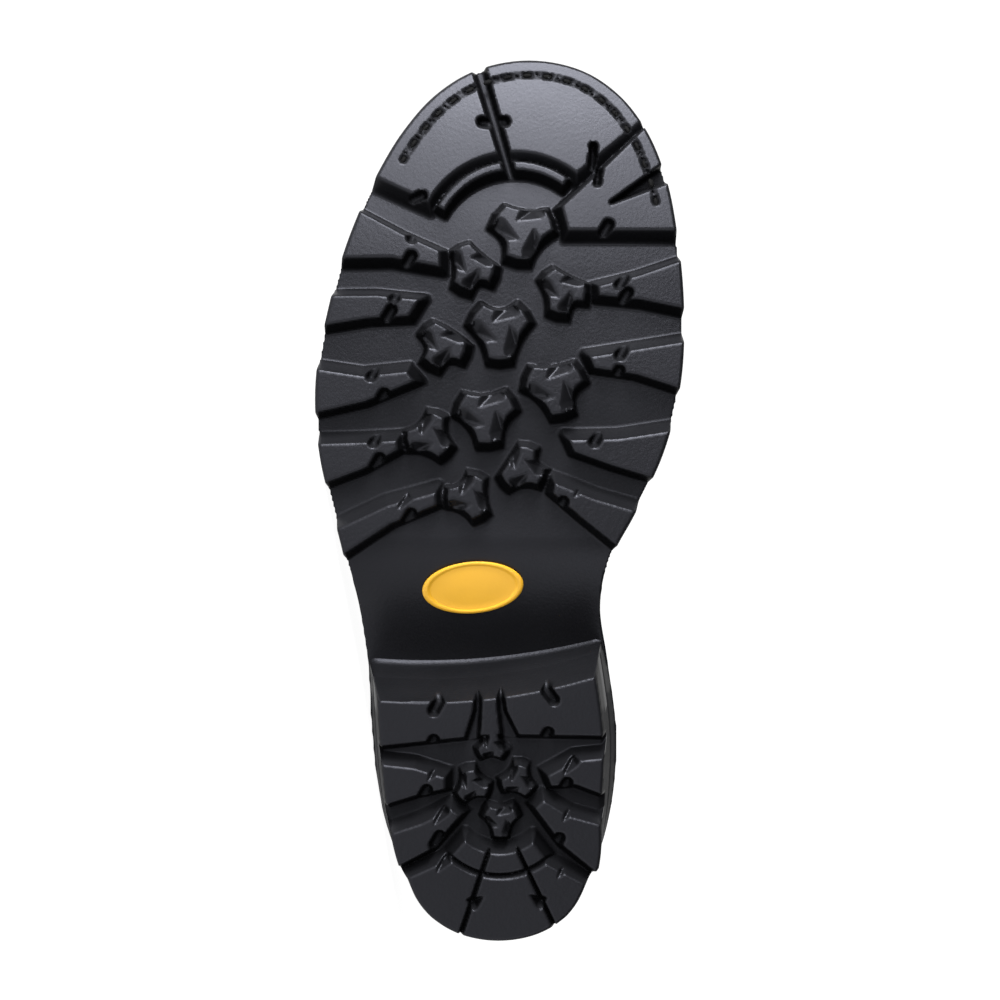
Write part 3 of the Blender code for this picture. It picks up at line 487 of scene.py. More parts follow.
def sheet(front, back):
    """A closed sheet from two grids of points, joined round the rim."""
    size = front.shape[0] * front.shape[1]
    grid = np.arange(size).reshape(front.shape[:2])
    rim = np.r_[grid[0], grid[1:, -1], grid[-1, -2::-1], grid[-2:0:-1, 0]]
    faces = panel_faces(*front.shape[:2], False)
    faces += [tuple(size + v for v in reversed(face)) for face in faces]
    faces += [(int(b), int(a), int(a) + size, int(b) + size) for a, b in zip(rim, np.roll(rim, -1))]
    return np.vstack([front.reshape(-1, 3), back.reshape(-1, 3)]), faces


ends = edged(np.linspace(0.05, 0.95, 60), 1.0, 1.0)
heights = edged(np.linspace(0.0, 0.95, 24), 0.0, 2.0)
counter_face, counter_back = (
    overlay(heights, ends, lambda s, t: s * counter_top(t), lambda s: (2.0 * s - 1.0) * COUNTER_REACH, raised)
    for raised in (1.0, 0.0))
counter = piece("counter_leather", *sheet(counter_face, counter_back), leather)
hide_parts("counter")

# Collar band: a folded leather strip sewn round the top of the shaft to bind its edge.
# Its two long edges are rounded where the leather is folded.
BAND_ROW, BAND_COLUMNS = 10.9, 160
band_shares = edged(np.linspace(0.06, 0.94, 10), 1.5, 1.5)
round_shares = np.column_stack([np.arange(BAND_COLUMNS) / BAND_COLUMNS, np.ones(BAND_COLUMNS)])
band_face = overlay(
    band_shares, round_shares, lambda s, t: BAND_ROW + (COLLAR_ROW - BAND_ROW) * s + 0.0 * t,
    lambda s: s * 2.0 * math.pi)
band = piece("collar_band_leather", *shell([band_face]), leather)
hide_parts("collar_band")

# Pull loop: woven webbing, sewn outside the collar band at the back and folded over the top edge
# down into the shaft. It is flat, springy and a little open at its bend.
LOOP_REACH, LOOP_ROW, LOOP_RISE, LOOP_THICKNESS = 2 * RING_STEP, 11.05, 13.0, 1.6
WEB, WEB_LIGHT = (0.010, 0.010, 0.011), (0.022, 0.022, 0.024)
loop_turns = np.linspace(-LOOP_REACH, LOOP_REACH, 25)[None]
loop_rows = np.linspace(LOOP_ROW, COLLAR_ROW, 12)[:, None]
loop_normals = upper_normal(loop_rows, loop_turns)


def loop_sheet(lift):
    """One face of the webbing: up outside, over the bend and down inside, lifted off its inner face."""
    out = upper_point(loop_rows, loop_turns) + loop_normals * (OVERLAY + 2.0 * GAP + lift)
    back = upper_point(loop_rows, loop_turns) - loop_normals * (WALL + 2.0 * GAP + lift)
    middle, half = (out[-1] + back[-1]) / 2.0, (out[-1] - back[-1]) / 2.0
    over = []
    for angle in np.linspace(0.0, math.pi, 20)[1:-1]:
        rise = np.array([0.0, 0.0, (LOOP_RISE + lift) * math.sin(angle)])
        over.append(middle + half * math.cos(angle) + rise)
    return np.concatenate([out, np.array(over), back[::-1]])


webbing = finish("webbing", WEB, WEB_LIGHT, 0.85, 200.0, 800.0, 0.9, 0.3)
pull_loop = piece("pull_loop_webbing", *sheet(loop_sheet(LOOP_THICKNESS), loop_sheet(0.0)), webbing)
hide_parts("pull_loop")

# Welt: a flat leather strip that runs round the boot between upper and midsole.
# A channel in its top takes the stitches that hold upper and sole together.
WELT_BLACK, WELT_WORN = (0.010, 0.010, 0.010), (0.020, 0.019, 0.018)
CHANNEL = 0.35
# Channel in the welt's top: share of the way in to the upper, height
CHANNEL_PROFILE = [(0.36, 0.0), (0.44, -CHANNEL), (0.56, -CHANNEL), (0.64, 0.0)]
# Rounded outer edge of the welt: how far in from the sole's edge, height above its underside
WELT_PROFILE = [
    (0.6, 0.0), (0.15, 0.15), (0.0, 0.6), (0.0, WELT - 0.6), (0.15, WELT - 0.15), (0.6, WELT),
]
welt_inner = inset(FEATHER_LOOP, WALL + GAP)
welt_rows = [(inset(SOLE_LOOP, reach), height - WELT) for reach, height in WELT_PROFILE]
welt_rows += [(inset(SOLE_LOOP, MARGIN * share), height) for share, height in CHANNEL_PROFILE]
welt_rows += [(welt_inner, 0.0), (welt_inner, -WELT)]
welt_rings = [np.column_stack([flat, welt_z(flat[:, 0]) + height]) for flat, height in welt_rows]
welt_leather = finish("welt_leather", WELT_BLACK, WELT_WORN, 0.50, 60.0, 700.0, 0.4)
welt_points, welt_faces = shell([np.array(welt_rings)])
welt = piece("welt_strip", welt_points, [face[::-1] for face in welt_faces], welt_leather, 40.0)
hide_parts("welt")

# Stitches: bonded thread in a row along a seam, made once as nodes and used for every seam.
# Each stitch is a short, round, slightly uneven bead of thread lying along its seam.
THREAD, THREAD_LIGHT = (0.0016, 0.0016, 0.0018), (0.0034, 0.0034, 0.0036)
# Pitch, length and thickness of a stitch; rows below the counter's top; half a seam's width as a turn;
# how far the thread stands out of the welt's channel
WELT_STITCH, SEAM_STITCH = (5.0, 4.3, 1.1), (3.6, 3.0, 0.75)
COUNTER_SEWN, SEAM_HALF, THREAD_PROUD = (0.16, 0.32), 1.7 / 42.0, 0.25
OUTER_SEAM, INNER_SEAM = 1.45, 2.0 * math.pi - 1.45
thread = finish("thread", THREAD, THREAD_LIGHT, 0.75, 300.0, 2500.0, 0.5, shine=0.10)
stitch_nodes = bpy.data.node_groups.new("stitch_row", "GeometryNodeTree")
for label, way, kind in (("Geometry", "INPUT", "Geometry"), ("Pitch", "INPUT", "Float"),
                         ("Length", "INPUT", "Float"), ("Thickness", "INPUT", "Float"),
                         ("Seed", "INPUT", "Int"), ("Material", "INPUT", "Material"),
                         ("Geometry", "OUTPUT", "Geometry")):
    stitch_nodes.interface.new_socket(label, in_out=way, socket_type="NodeSocket" + kind)
given = node(stitch_nodes, "NodeGroupInput").outputs
seam = node(stitch_nodes, "GeometryNodeMeshToCurve", {"Mesh": given["Geometry"]})
spots = node(stitch_nodes, "GeometryNodeCurveToPoints", {
    "Curve": seam.outputs["Curve"], "Length": given["Pitch"]}, mode="LENGTH").outputs
bead = node(stitch_nodes, "GeometryNodeMeshUVSphere", {"Segments": 10, "Rings": 7, "Radius": 0.5})
lie = node(stitch_nodes, "FunctionNodeAlignRotationToVector", {"Vector": spots["Tangent"]}, axis="Z")
uneven = node(stitch_nodes, "FunctionNodeRandomValue", {2: 0.92, 3: 1.06, "Seed": given["Seed"]},
              data_type="FLOAT")
longer = node(stitch_nodes, "ShaderNodeMath", {0: given["Length"], 1: uneven.outputs[1]},
              operation="MULTIPLY")
scale = node(stitch_nodes, "ShaderNodeCombineXYZ", {
    "X": given["Thickness"], "Y": given["Thickness"], "Z": longer.outputs["Value"]})
beads = node(stitch_nodes, "GeometryNodeInstanceOnPoints", {
    "Points": spots["Points"], "Instance": bead.outputs["Mesh"],
    "Rotation": lie.outputs["Rotation"], "Scale": scale.outputs["Vector"]})
real = node(stitch_nodes, "GeometryNodeRealizeInstances", {"Geometry": beads.outputs["Instances"]})
paint = node(stitch_nodes, "GeometryNodeSetMaterial", {
    "Geometry": real.outputs["Geometry"], "Material": given["Material"]})
node(stitch_nodes, "NodeGroupOutput", {"Geometry": paint.outputs["Geometry"]})


def stitch_row(name, paths, pitch, length, thickness, seed, solid, slot):
    """Stitches along paths in the boot's frame, as a plain mesh."""
    mesh = bpy.data.meshes.new(name)
    points, edges = [], []
    for path in paths:
        edges += [(len(points) + i, len(points) + i + 1) for i in range(len(path) - 1)]
        points += to_world(path).tolist()
    mesh.from_pydata(points, edges, [])
    obj = bpy.data.objects.new(name, mesh)
    bpy.context.scene.collection.objects.link(obj)
    sewing = obj.modifiers.new("stitches", "NODES")
    sewing.node_group = stitch_nodes
    values = {"Pitch": pitch * MM, "Length": length * MM, "Thickness": thickness * MM,
              "Seed": seed, "Material": thread}
    for item in stitch_nodes.interface.items_tree:
        if item.in_out == "INPUT" and item.name in values:
            sewing[item.identifier] = values[item.name]
    bpy.context.view_layer.update()
    done = bpy.data.meshes.new_from_object(obj.evaluated_get(bpy.context.evaluated_depsgraph_get()))
    obj.modifiers.clear()
    obj.data = done
    done.shade_smooth()
    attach(obj, "root")
    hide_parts(solid)


welt_line = inset(SOLE_LOOP, MARGIN * 0.5)
welt_line = np.column_stack([welt_line, welt_z(welt_line[:, 0]) - CHANNEL + THREAD_PROUD])
welt_path = np.vstack([welt_line, welt_line[:1]])
stitch_row("welt_stitches", [welt_path], *WELT_STITCH, 1, "welt", "welt_leather")
sew_turns = np.linspace(-0.94, 0.94, 120) * COUNTER_REACH
counter_rows = [on_upper(counter_top(sew_turns) - drop, sew_turns, GAP + OVERLAY) for drop in COUNTER_SEWN]
stitch_row("counter_stitches", counter_rows, *SEAM_STITCH, 2, "counter", "upper_leather")
band_turns = np.linspace(0.0, 2.0 * math.pi, 200)
band_rows = [on_upper(row, band_turns, GAP + OVERLAY) for row in (BAND_ROW + 0.10, COLLAR_ROW - 0.14)]
stitch_row("band_stitches", band_rows, *SEAM_STITCH, 3, "collar_band", "upper_leather")
seam_rows = np.linspace(1.2, BAND_ROW - 0.05, 160)
seams = [on_upper(seam_rows, middle + off, 0.0)
         for middle in (OUTER_SEAM, INNER_SEAM) for off in (-SEAM_HALF, SEAM_HALF)]
stitch_row("seam_stitches", seams, *SEAM_STITCH, 4, "upper", "upper_leather")

# Midsole: a rubber layer, die-cut, glued between welt and outsole and trimmed a little inside them.
# Only its edge shows.
MIDSOLE_INSET, MIDSOLE_STEP, MIDSOLE_ROUND = 0.8, 3.0, 0.4
RUBBER, RUBBER_BLOOM = (0.0090, 0.0092, 0.0106), (0.0140, 0.0143, 0.0164)
rubber = finish("sole_rubber", RUBBER, RUBBER_BLOOM, 0.50, 28.0, 900.0, 0.22)
midsole_points, midsole_faces, _ = relief_plate(
    inset(SOLE_LOOP, MIDSOLE_INSET), lines(-4.0, 294.0, MIDSOLE_STEP), lines(-63.0, 63.0, MIDSOLE_STEP),
    lambda xy: base_z(xy[:, 0]) + PLATE + GAP, lambda xy: base_z(xy[:, 0]) + PLATE + GAP + MIDSOLE,
    MIDSOLE_ROUND)
midsole = piece("midsole_rubber", midsole_points, midsole_faces, rubber)
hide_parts("midsole")

# Outsole: one piece of moulded nitrile rubber, a bent plate with deep lugs.
# The mould leaves drafted walls, rounded edges, pockets in the lugs and a channel sewn at the toe.
LUG_FLARE, PAST_EDGE = 0.8, 4.0
# Walls of the lugs: widths, how they lean, their range, roundings of top, foot and corners
LUG_DRAFT, RIB_DRAFT, STAR_END_DRAFT, STAR_SIDE_DRAFT, STAR_LEAN = 3.0, 1.2, 2.6, 1.7, 0.8
LEAST_DRAFT, MOST_DRAFT, WALL_ROUND, CORNER_ROUND, LUG_REACH = 1.0, 6.0, (0.11, 0.16), 0.86, 7.0
# How far the bars lean to the toe: x, lean
BAR_LEAN = [(150.0, -0.9), (188.0, -0.7), (212.0, 0.4), (236.0, 1.0)]
STAR_ARM_WIDTH, STAR_WAIST, STAR_END, STAR_SPANS = 0.40, 0.70, 1.06, 8
# Bars: side, edge_toe_x, edge_heel_x, tip_toe_x, tip_toe_y, tip_heel_x, tip_heel_y, bow_toe, bow_heel
FOREFOOT_BARS = [
    (-1, 242.4, 227.2, 229.2, -20.2, 224.4, -20.2, -0.5, 1.6),
    (-1, 214.3, 204.8, 213.0, -27.2, 207.8, -30.4, 0.8, 0.8),
    (-1, 189.7, 175.6, 189.0, -31.2, 185.9, -28.8, -1.9, -1.5),
    (-1, 164.9, 152.2, 166.0, -34.7, 163.0, -34.2, -0.2, -1.0),
    (-1, 136.8, 128.5, 148.6, -21.7, 144.7, -21.3, 1.6, 1.8),
    (1, 270.5, 236.5, 244.3, 20.8, 236.6, 22.9, -0.3, 0.0),
    (1, 225.7, 210.5, 217.6, 33.0, 214.8, 33.3, -0.6, 0.7),
    (1, 198.8, 183.8, 193.9, 30.2, 190.4, 31.7, 0.0, 1.2),
    (1, 169.0, 154.0, 166.1, 23.3, 162.4, 25.0, -1.0, -0.4),
    (1, 142.6, 131.5, 151.7, 18.5, 148.5, 18.0, -0.7, -0.3),
]
# Three-armed stars: x, y, reach, turns of the arms from the toe towards the inner side in degrees
FOREFOOT_STARS = [
    (236.5, 7.7, 9.2, (-57, 69, 191)), (224.3, -9.5, 7.0, (-27, 108, 206)),
    (216.3, 21.0, 7.0, (-42, 94, 193)), (203.0, 0.0, 9.2, (-56, 53, 180)),
    (198.3, -19.0, 7.0, (-42, 110, 212)), (184.3, 18.3, 8.8, (-71, 58, 164)),
    (174.8, -4.6, 8.8, (-66, 58, 174)), (167.8, -23.5, 6.9, (18, 135, 260)),
    (147.5, -10.3, 6.7, (20, 149, 270)), (157.0, 7.5, 6.7, (14, 115, 233)),
]
TOE_ARC = (230.0, 5.0, 33.1, 38.9, -60.7)
TOE_RIB = (230.0, 5.0, 27.0, 29.5, 36.6, -60.6)
TOE_ARC_POINTS, RIB_POINTS = 41, 33
TOE_LUG_OUTER_X, TOE_LUG_INNER_X = 253.6, 274.9
# Grooves: x, y and width at one end, then at the other
TOE_GROOVES = [
    (293.0, -7.5, 4.8, 252.0, 4.4, 3.8), (256.2, 57.0, 7.2, 245.6, 37.2, 1.2),
    (264.7, 31.4, 3.0, 257.5, 30.9, 3.2), (252.3, 32.6, 2.8, 256.5, 33.0, 3.0),
]
# Most sheen kept in each groove: painted shade in the grooves
TOE_GROOVES_SHEEN = (0.3, 0.02, 0.1, 0.1)
GROOVE_WALL, GROOVE_LIP, GROOVE_FLOOR = 1.2, 0.1, 0.08
# Round-ended pockets, and notches of two slanting faces: x, y, and the way they open in x and y
FOREFOOT_POCKETS = [
    (233.0, -29.8, 1, 0.6), (228.5, -29.0, -1, -0.6), (213.0, -35.8, 1, 0.6),
    (210.5, -35.6, -1, -0.6), (187.0, -43.5, 1, 0.6), (182.5, -38.0, -1, -0.6),
    (165.0, -42.7, 1, 0.6), (161.0, -39.5, -1, -0.6),
    (142.5, -29.0, -1, -0.6), (239.0, 36.8, -1, -0.6), (217.5, 39.5, 1, 0.6),
    (216.3, 43.2, -1, -0.6), (194.0, 39.5, 1, 0.6), (190.2, 40.4, -1, -0.6), (165.0, 31.0, 1, 0.6),
    (146.5, 21.7, -1, -0.6), (248.3, -25.2, -0.5, -1.0),
    (273.2, -7.1, -0.1, 0.9), (273.1, 2.7, 0.1, -0.9),
]
FOREFOOT_NOTCHES = [(143.6, -33.7, 1, 0.6), (147.6, 25.2, 1, 0.6)]
# Pockets: how far back they start, reach, half width, floor, and the sheen kept inside as painted shade
POCKET_BACK, POCKET_REACH, POCKET_HALF_WIDTH, POCKET_FLOOR, POCKET_SHEEN = 0.9, 3.0, 2.0, 0.3, 0.12
NOTCH_BACK, NOTCH_REACH, NOTCH_HALF_WIDTH, NOTCH_DEPTH = 0.15, 4.8, 2.4, 0.65
STAR_POCKET_REACH, STAR_POCKET_HALF_WIDTH, STAR_POCKET_DEPTH = 0.80, 0.46, 0.48
STAR_POCKET_TIP, STAR_POCKET_FROM, STAR_POCKET_TO = 0.40, -49.0, 48.0
NOTCH_LEAST, NOTCH_PAST = 0.02, 1.3
# Sewing at the toe: pitch, length and thickness of a stitch, its line, trough and dimples; how far beside it
# and to what share the sheen is cut, painted shade in the channel; how far the thread stands proud
TOE_STITCH = (6.7, 3.4, 1.8)
SEWN_EDGE, SEWN_OUTER_X, SEWN_INNER_X, SEWN_DEPTH = 4.6, 259.3, 245.1, 1.6
SEWN_HALF, SEWN_WALL, SEWN_BETWEEN, SEWN_DIMPLE = 0.5, 0.85, 0.12, 0.35
SEWN_DULL_REACH, SEWN_SHEEN, SEWN_PROUD = 1.5, 0.35, 0.2
FINE, COARSE, FINE_FROM, SETTLE, EDGE_ROUND = 0.5, 2.0, 122.0, 0.45, 0.9
# Colour of rubbed rubber with painted sheen; mask on walls facing the toe light (painted sheen) and on walls
# facing aside (painted shade)
SOLE_WEAR_AND_SHEEN, TOE_WALL_SHEEN, SIDE_WALL_SHEEN = 0.0052, 0.35, 0.04
# Where a face counts as flat, or as facing the toe: from, and over what range; least height of a lug
FLAT_FROM, FLAT_RUN, TOE_FROM, TOE_RUN, ON_LUG = 0.45, 0.4, 0.55, 0.3, 0.1
# Painted sheen of the floor between the lugs along the sole, painted shade where it is low: x, share
FLOOR_SHEEN = [
    (0.0, 0.2), (50.0, 0.25), (62.0, 0.6), (90.0, 0.6), (112.0, 1.0), (135.0, 0.8), (150.0, 0.32),
    (175.0, 0.35), (200.0, 0.8), (245.0, 1.0),
]


def arc_points(centre_x, centre_y, radius, start, end, count):
    turn = np.radians(np.linspace(start, end, count))
    return list(zip(centre_x + radius * np.cos(turn), centre_y + radius * np.sin(turn)))


def edge_points(loop, side, start_x, end_x, count):
    half = sides(loop)[0 if side < 0 else 1]
    x = np.linspace(start_x, end_x, count)
    return list(zip(x, np.interp(x, *half.T)))


def bar_outline(row, loop):
    """A side bar: along the sole edge, then in along two bowed sides to a blunt tip."""
    side, edge_toe, edge_heel, toe_x, toe_y, heel_x, heel_y, bow_toe, bow_heel = row
    edge = np.array(edge_points(loop, side, edge_heel, edge_toe, 3))
    toe_middle = ((edge[-1][0] + toe_x) / 2.0 + bow_toe, (edge[-1][1] + toe_y) / 2.0)
    heel_middle = ((edge[0][0] + heel_x) / 2.0 + bow_heel, (edge[0][1] + heel_y) / 2.0)
    toe_way, heel_way = edge[-1] - toe_middle, edge[0] - heel_middle
    past_toe = edge[-1] + toe_way * PAST_EDGE / np.linalg.norm(toe_way)
    past_heel = edge[0] + heel_way * PAST_EDGE / np.linalg.norm(heel_way)
    tip = [(toe_x, toe_y), (heel_x, heel_y)]
    return [past_heel, past_toe, edge[-1], toe_middle, *tip, heel_middle, edge[0]]


def heading(turn):
    return np.array([math.cos(math.radians(turn)), math.sin(math.radians(turn))])


def arm_pairs(arms):
    """Turns of each arm of a star and of the next arm."""
    return zip(arms, (*arms[1:], arms[0] + 360.0))


def star_outline(row):
    """Three arms with blunt ends and curved, hollow sides between them."""
    x, y, reach, arms = row
    points = []
    for turn, next_turn in arm_pairs(arms):
        across = STAR_ARM_WIDTH * heading(turn + 90.0)
        first, start = heading(turn) - across, heading(turn) + across
        end = heading(next_turn) - STAR_ARM_WIDTH * heading(next_turn + 90.0)
        pull = 2.0 * STAR_WAIST * heading((turn + next_turn) / 2.0) - (start + end) / 2.0
        points += [first, STAR_END * heading(turn)]
        for s in np.arange(STAR_SPANS) / STAR_SPANS:
            points.append(start * (1 - s) ** 2 + 2 * pull * s * (1 - s) + end * s * s)
    return [np.array([x, y]) + reach * point for point in points]


def star_drafts(scale):
    """How far out the foot of each side of a star stands: most at the ends of its arms."""
    arm = [STAR_END_DRAFT, STAR_END_DRAFT] + [STAR_SIDE_DRAFT] * STAR_SPANS
    return scale * np.array(arm * 3)


def star_pockets(row):
    """A pocket from each hollow side of a star into its top, all turned the same way."""
    x, y, reach, arms = row
    pockets = []
    for turn, next_turn in arm_pairs(arms):
        between = (turn + next_turn) / 2.0
        tip = np.array([x, y]) + STAR_POCKET_TIP * reach * heading(between + STAR_POCKET_FROM)
        pockets.append((tip, tip + STAR_POCKET_REACH * reach * heading(between + STAR_POCKET_TO)))
    return pockets


def rib_outline(row):
    x, y, inner, outer, start, end = row
    outer_arc = arc_points(x, y, outer, start, end, RIB_POINTS)
    return outer_arc + arc_points(x, y, inner, end, start, RIB_POINTS)


def wall_shares(points, polygon, drafts, lean):
    """How far out each point is from the polygon's edge, in widths of its wall; negative inside.

    drafts has one width of wall, or one for each side; lean narrows the walls that face the toe."""
    p = np.asarray(polygon, float)
    turned = np.sum(p[:, 0] * np.roll(p[:, 1], -1) - p[:, 1] * np.roll(p[:, 0], -1))
    along = np.roll(p, -1, axis=0) - p
    out = np.stack([along[:, 1], -along[:, 0]], axis=1) * np.sign(turned)
    out /= np.linalg.norm(out, axis=1)[:, None]
    side, share, gap = nearest(points, p)
    inside = np.zeros(len(points), bool)
    for (ax, ay), (bx, by) in zip(p, np.roll(p, -1, axis=0)):
        crosses = (ay > points[:, 1]) != (by > points[:, 1])
        at = ax + (points[:, 1] - ay) * (bx - ax) / (by - ay if by != ay else 1e-9)
        inside ^= crosses & (points[:, 0] < at)
    before = np.where(share <= 0.0, side - 1, side)
    after = np.where(share >= 1.0, (side + 1) % len(p), side)
    reach = points - p[after]
    draft = np.broadcast_to(drafts, len(p))
    walls, shares = [], []
    for edge in (before, after):
        wall = np.clip(draft[edge] - lean(points[:, 0]) * out[edge, 0], LEAST_DRAFT, MOST_DRAFT)
        walls.append(wall)
        shares.append((reach * out[edge]).sum(axis=1) / wall)
    rounded = np.maximum(np.maximum(*shares), CORNER_ROUND * gap / np.maximum(*walls))
    at_corner = (share <= 0.0) | (share >= 1.0)
    return np.where(inside, -gap, np.where(at_corner, rounded * walls[0], gap)) / walls[0]


def soft_ramp(t, start, end):
    """0 below 0, t between, 1 above 1, with rounded ends."""
    bend = lambda v, e: np.where(v < -e, 0.0, np.where(v > e, v, (v + e) ** 2 / (4.0 * e)))
    return bend(t, start) - bend(t - 1.0, end)


def near_form(xy, form, reach):
    """Which points lie within reach of a form's box."""
    return np.nonzero(np.all((xy > form.min(axis=0) - reach) & (xy < form.max(axis=0) + reach), axis=1))[0]


def raise_lugs(xy, outlines, drafts, lean):
    """Share of the lug height at each point: 1 on a lug's top, 0 on the floor between lugs."""
    height = np.zeros(len(xy))
    for outline, draft in zip(outlines, drafts):
        form = np.asarray(outline, float)
        near = near_form(xy, form, LUG_REACH)
        out = wall_shares(xy[near], form, draft, lean)
        height[near] = np.maximum(height[near], 1.0 - soft_ramp(out, *WALL_ROUND))
    return height


def settle(xy, lugs, stars, reach):
    """Points near a lug's top edge moved onto it, so that the edge runs clean."""
    for outline in lugs + [star_outline(row) for row in stars]:
        form = np.asarray(outline, float)
        near = near_form(xy, form, 1.0)
        side, share, gap = nearest(xy[near], form)
        close = gap < reach
        xy[near[close]] = on_loop(form, side[close], share[close])
    return xy


def carve_notch(height, xy, tip, end, half_width, depth):
    """Lower the lugs in a notch of two slanting faces that deepens and widens from its tip."""
    way = np.asarray(end) - tip
    length = np.linalg.norm(way)
    share = (xy - tip) @ way / length ** 2
    off = np.abs((xy - tip) @ np.array([-way[1], way[0]])) / length
    inside = np.clip(1.0 - off / (half_width * np.clip(share, NOTCH_LEAST, 1.0)), 0.0, 1.0)
    limit = 1.0 - depth * np.clip(share, 0.0, 1.0) * inside
    return np.where((share > 0.0) & (share < NOTCH_PAST), np.minimum(height, limit), height)


def groove_distance(xy, row):
    """Distance to the edge of a groove that widens or narrows, negative inside."""
    x0, y0, width0, x1, y1, width1 = row
    start, way = np.array([x0, y0]), np.array([x1 - x0, y1 - y0])
    held = np.clip((xy - start) @ way / (way @ way), 0.0, 1.0)
    half = (width0 + (width1 - width0) * held) / 2.0
    return np.linalg.norm(xy - start - held[:, None] * way, axis=1) - half


def pocket_groove(x, y, way_x, way_y):
    """A pocket as a short groove with round ends that starts inside its lug."""
    way = np.array([way_x, way_y])
    start = np.array([x, y]) + (POCKET_HALF_WIDTH / np.linalg.norm(way) - POCKET_BACK) * way
    end = start + POCKET_REACH * way
    return *start, 2.0 * POCKET_HALF_WIDTH, *end, 2.0 * POCKET_HALF_WIDTH


def carve_groove(height, xy, row, floor):
    """Lower the lugs along a groove."""
    off = groove_distance(xy, row)
    limit = floor + (1.0 - floor) * soft_ramp((off + GROOVE_WALL - GROOVE_LIP) / GROOVE_WALL, 0.2, 0.15)
    return np.where(off < 1.0, np.minimum(height, limit), height)


def tread_height(xy, lugs, drafts, lean, stars, star_scale, star_lean, pockets, notches, grooves):
    """The moulded relief of a tread from all its lugs, stars, pockets, notches and grooves."""
    height = raise_lugs(xy, lugs, drafts, lean)
    star_walls = [star_drafts(star_scale)] * len(stars)
    star_forms = [star_outline(row) for row in stars]
    height = np.maximum(height, raise_lugs(xy, star_forms, star_walls, star_lean))
    for row in stars:
        half_width = row[2] * STAR_POCKET_HALF_WIDTH
        for tip, end in star_pockets(row):
            height = carve_notch(height, xy, tip, end, half_width, STAR_POCKET_DEPTH)
    for row in pockets:
        height = carve_groove(height, xy, pocket_groove(*row), POCKET_FLOOR)
    for x, y, way_x, way_y in notches:
        way = NOTCH_REACH * np.array([way_x, way_y])
        tip = np.array([x, y]) - NOTCH_BACK * way
        height = carve_notch(height, xy, tip, tip + way, NOTCH_HALF_WIDTH, NOTCH_DEPTH)
    for row in grooves:
        height = carve_groove(height, xy, row, GROOVE_FLOOR)
    return height


def mark_wear_and_sheen(obj, points, height, most, pockets=()):
    """Store each point's share of rubbed wear with painted sheen, and how lit it is for painted shade:
    most on the lug tops, least on the walls.

    height is the share of the lug height, and most is a limit for each point: 0 outside the tread.
    Inside the pockets the sheen is kept low: painted shade."""
    for row in pockets:
        inside = groove_distance(points[:, :2], pocket_groove(*row)) < -0.1
        most = np.where(inside & (height > ON_LUG), np.minimum(most, POCKET_SHEEN), most)
    normals = np.empty(len(points) * 3)
    obj.data.vertex_normals.foreach_get("vector", normals)
    normals = normals.reshape(-1, 3) @ BOOT_TURN
    upright = np.abs(normals[:, 2])
    flat = smooth_step((upright - FLAT_FROM) / FLAT_RUN)
    toeward = normals[:, 0] / np.sqrt(np.maximum(1.0 - upright ** 2, 1e-4))
    facing = smooth_step((toeward - TOE_FROM) / TOE_RUN)
    # Walls facing the toe light take painted sheen, walls facing aside painted shade.
    wall = SIDE_WALL_SHEEN + (TOE_WALL_SHEEN - SIDE_WALL_SHEEN) * facing
    # The floor between the lugs takes painted sheen and shade along the sole.
    floor = np.interp(points[:, 0], *np.array(FLOOR_SHEEN).T)
    wear_and_sheen = np.minimum(wall + flat * (np.where(height > ON_LUG, 1.0, floor) - wall), most)
    # Painted shade: lit is low on walls that face away from the toe light.
    lit = np.where(most > 0.0, np.maximum(flat, facing), 1.0)
    for name, values in (("wear_and_sheen", wear_and_sheen), ("lit", lit)):
        layer = obj.data.attributes.new(name, "FLOAT", "POINT")
        layer.data.foreach_set("value", values)


def travel_along(path):
    """How far along a path each of its points is."""
    return np.r_[0.0, np.cumsum(np.linalg.norm(np.diff(path, axis=0), axis=1))]


# Tread rubber: rubbed wear with painted sheen from its mask, and painted shade on walls facing away from the
# toe light.
tread_rubber = finish(
    "tread_rubber", RUBBER, RUBBER_BLOOM, 0.34, 28.0, 900.0, 0.22, wear_and_sheen=SOLE_WEAR_AND_SHEEN, shine=0.25)
outer_edge, inner_edge = sides(inset(SOLE_LOOP, -PAST_EDGE))
outer_edge = outer_edge[outer_edge[:, 0] > TOE_LUG_OUTER_X]
inner_edge = inner_edge[inner_edge[:, 0] > TOE_LUG_INNER_X][::-1]
toe_lug = [*outer_edge, *inner_edge[1:], *arc_points(*TOE_ARC, TOE_ARC_POINTS)]
forefoot_lugs = [toe_lug, rib_outline(TOE_RIB)] + [bar_outline(row, SOLE_LOOP) for row in FOREFOOT_BARS]
forefoot_drafts = [LUG_DRAFT, RIB_DRAFT] + [LUG_DRAFT] * len(FOREFOOT_BARS)
sewn_outer, sewn_inner = sides(inset(SOLE_LOOP, SEWN_EDGE))
sewn_path = np.vstack([sewn_outer[sewn_outer[:, 0] > SEWN_OUTER_X],
                       sewn_inner[sewn_inner[:, 0] > SEWN_INNER_X][-2::-1]])
there_and_back = np.vstack([sewn_path, sewn_path[-2:0:-1]])
sewn_line = np.column_stack([sewn_path, spring_z(sewn_path[:, 0]) + SEWN_DEPTH - SEWN_PROUD])
sewn_travel = travel_along(sewn_line)
sewn_pitch = sewn_travel[-1] / int(sewn_travel[-1] / TOE_STITCH[0])


def toe_lean(x):
    """The lugs stand square on the plate, so they lean where it curves up to the toe."""
    return LUG_DEPTH * (spring_z(x + 0.5) - spring_z(x - 0.5))


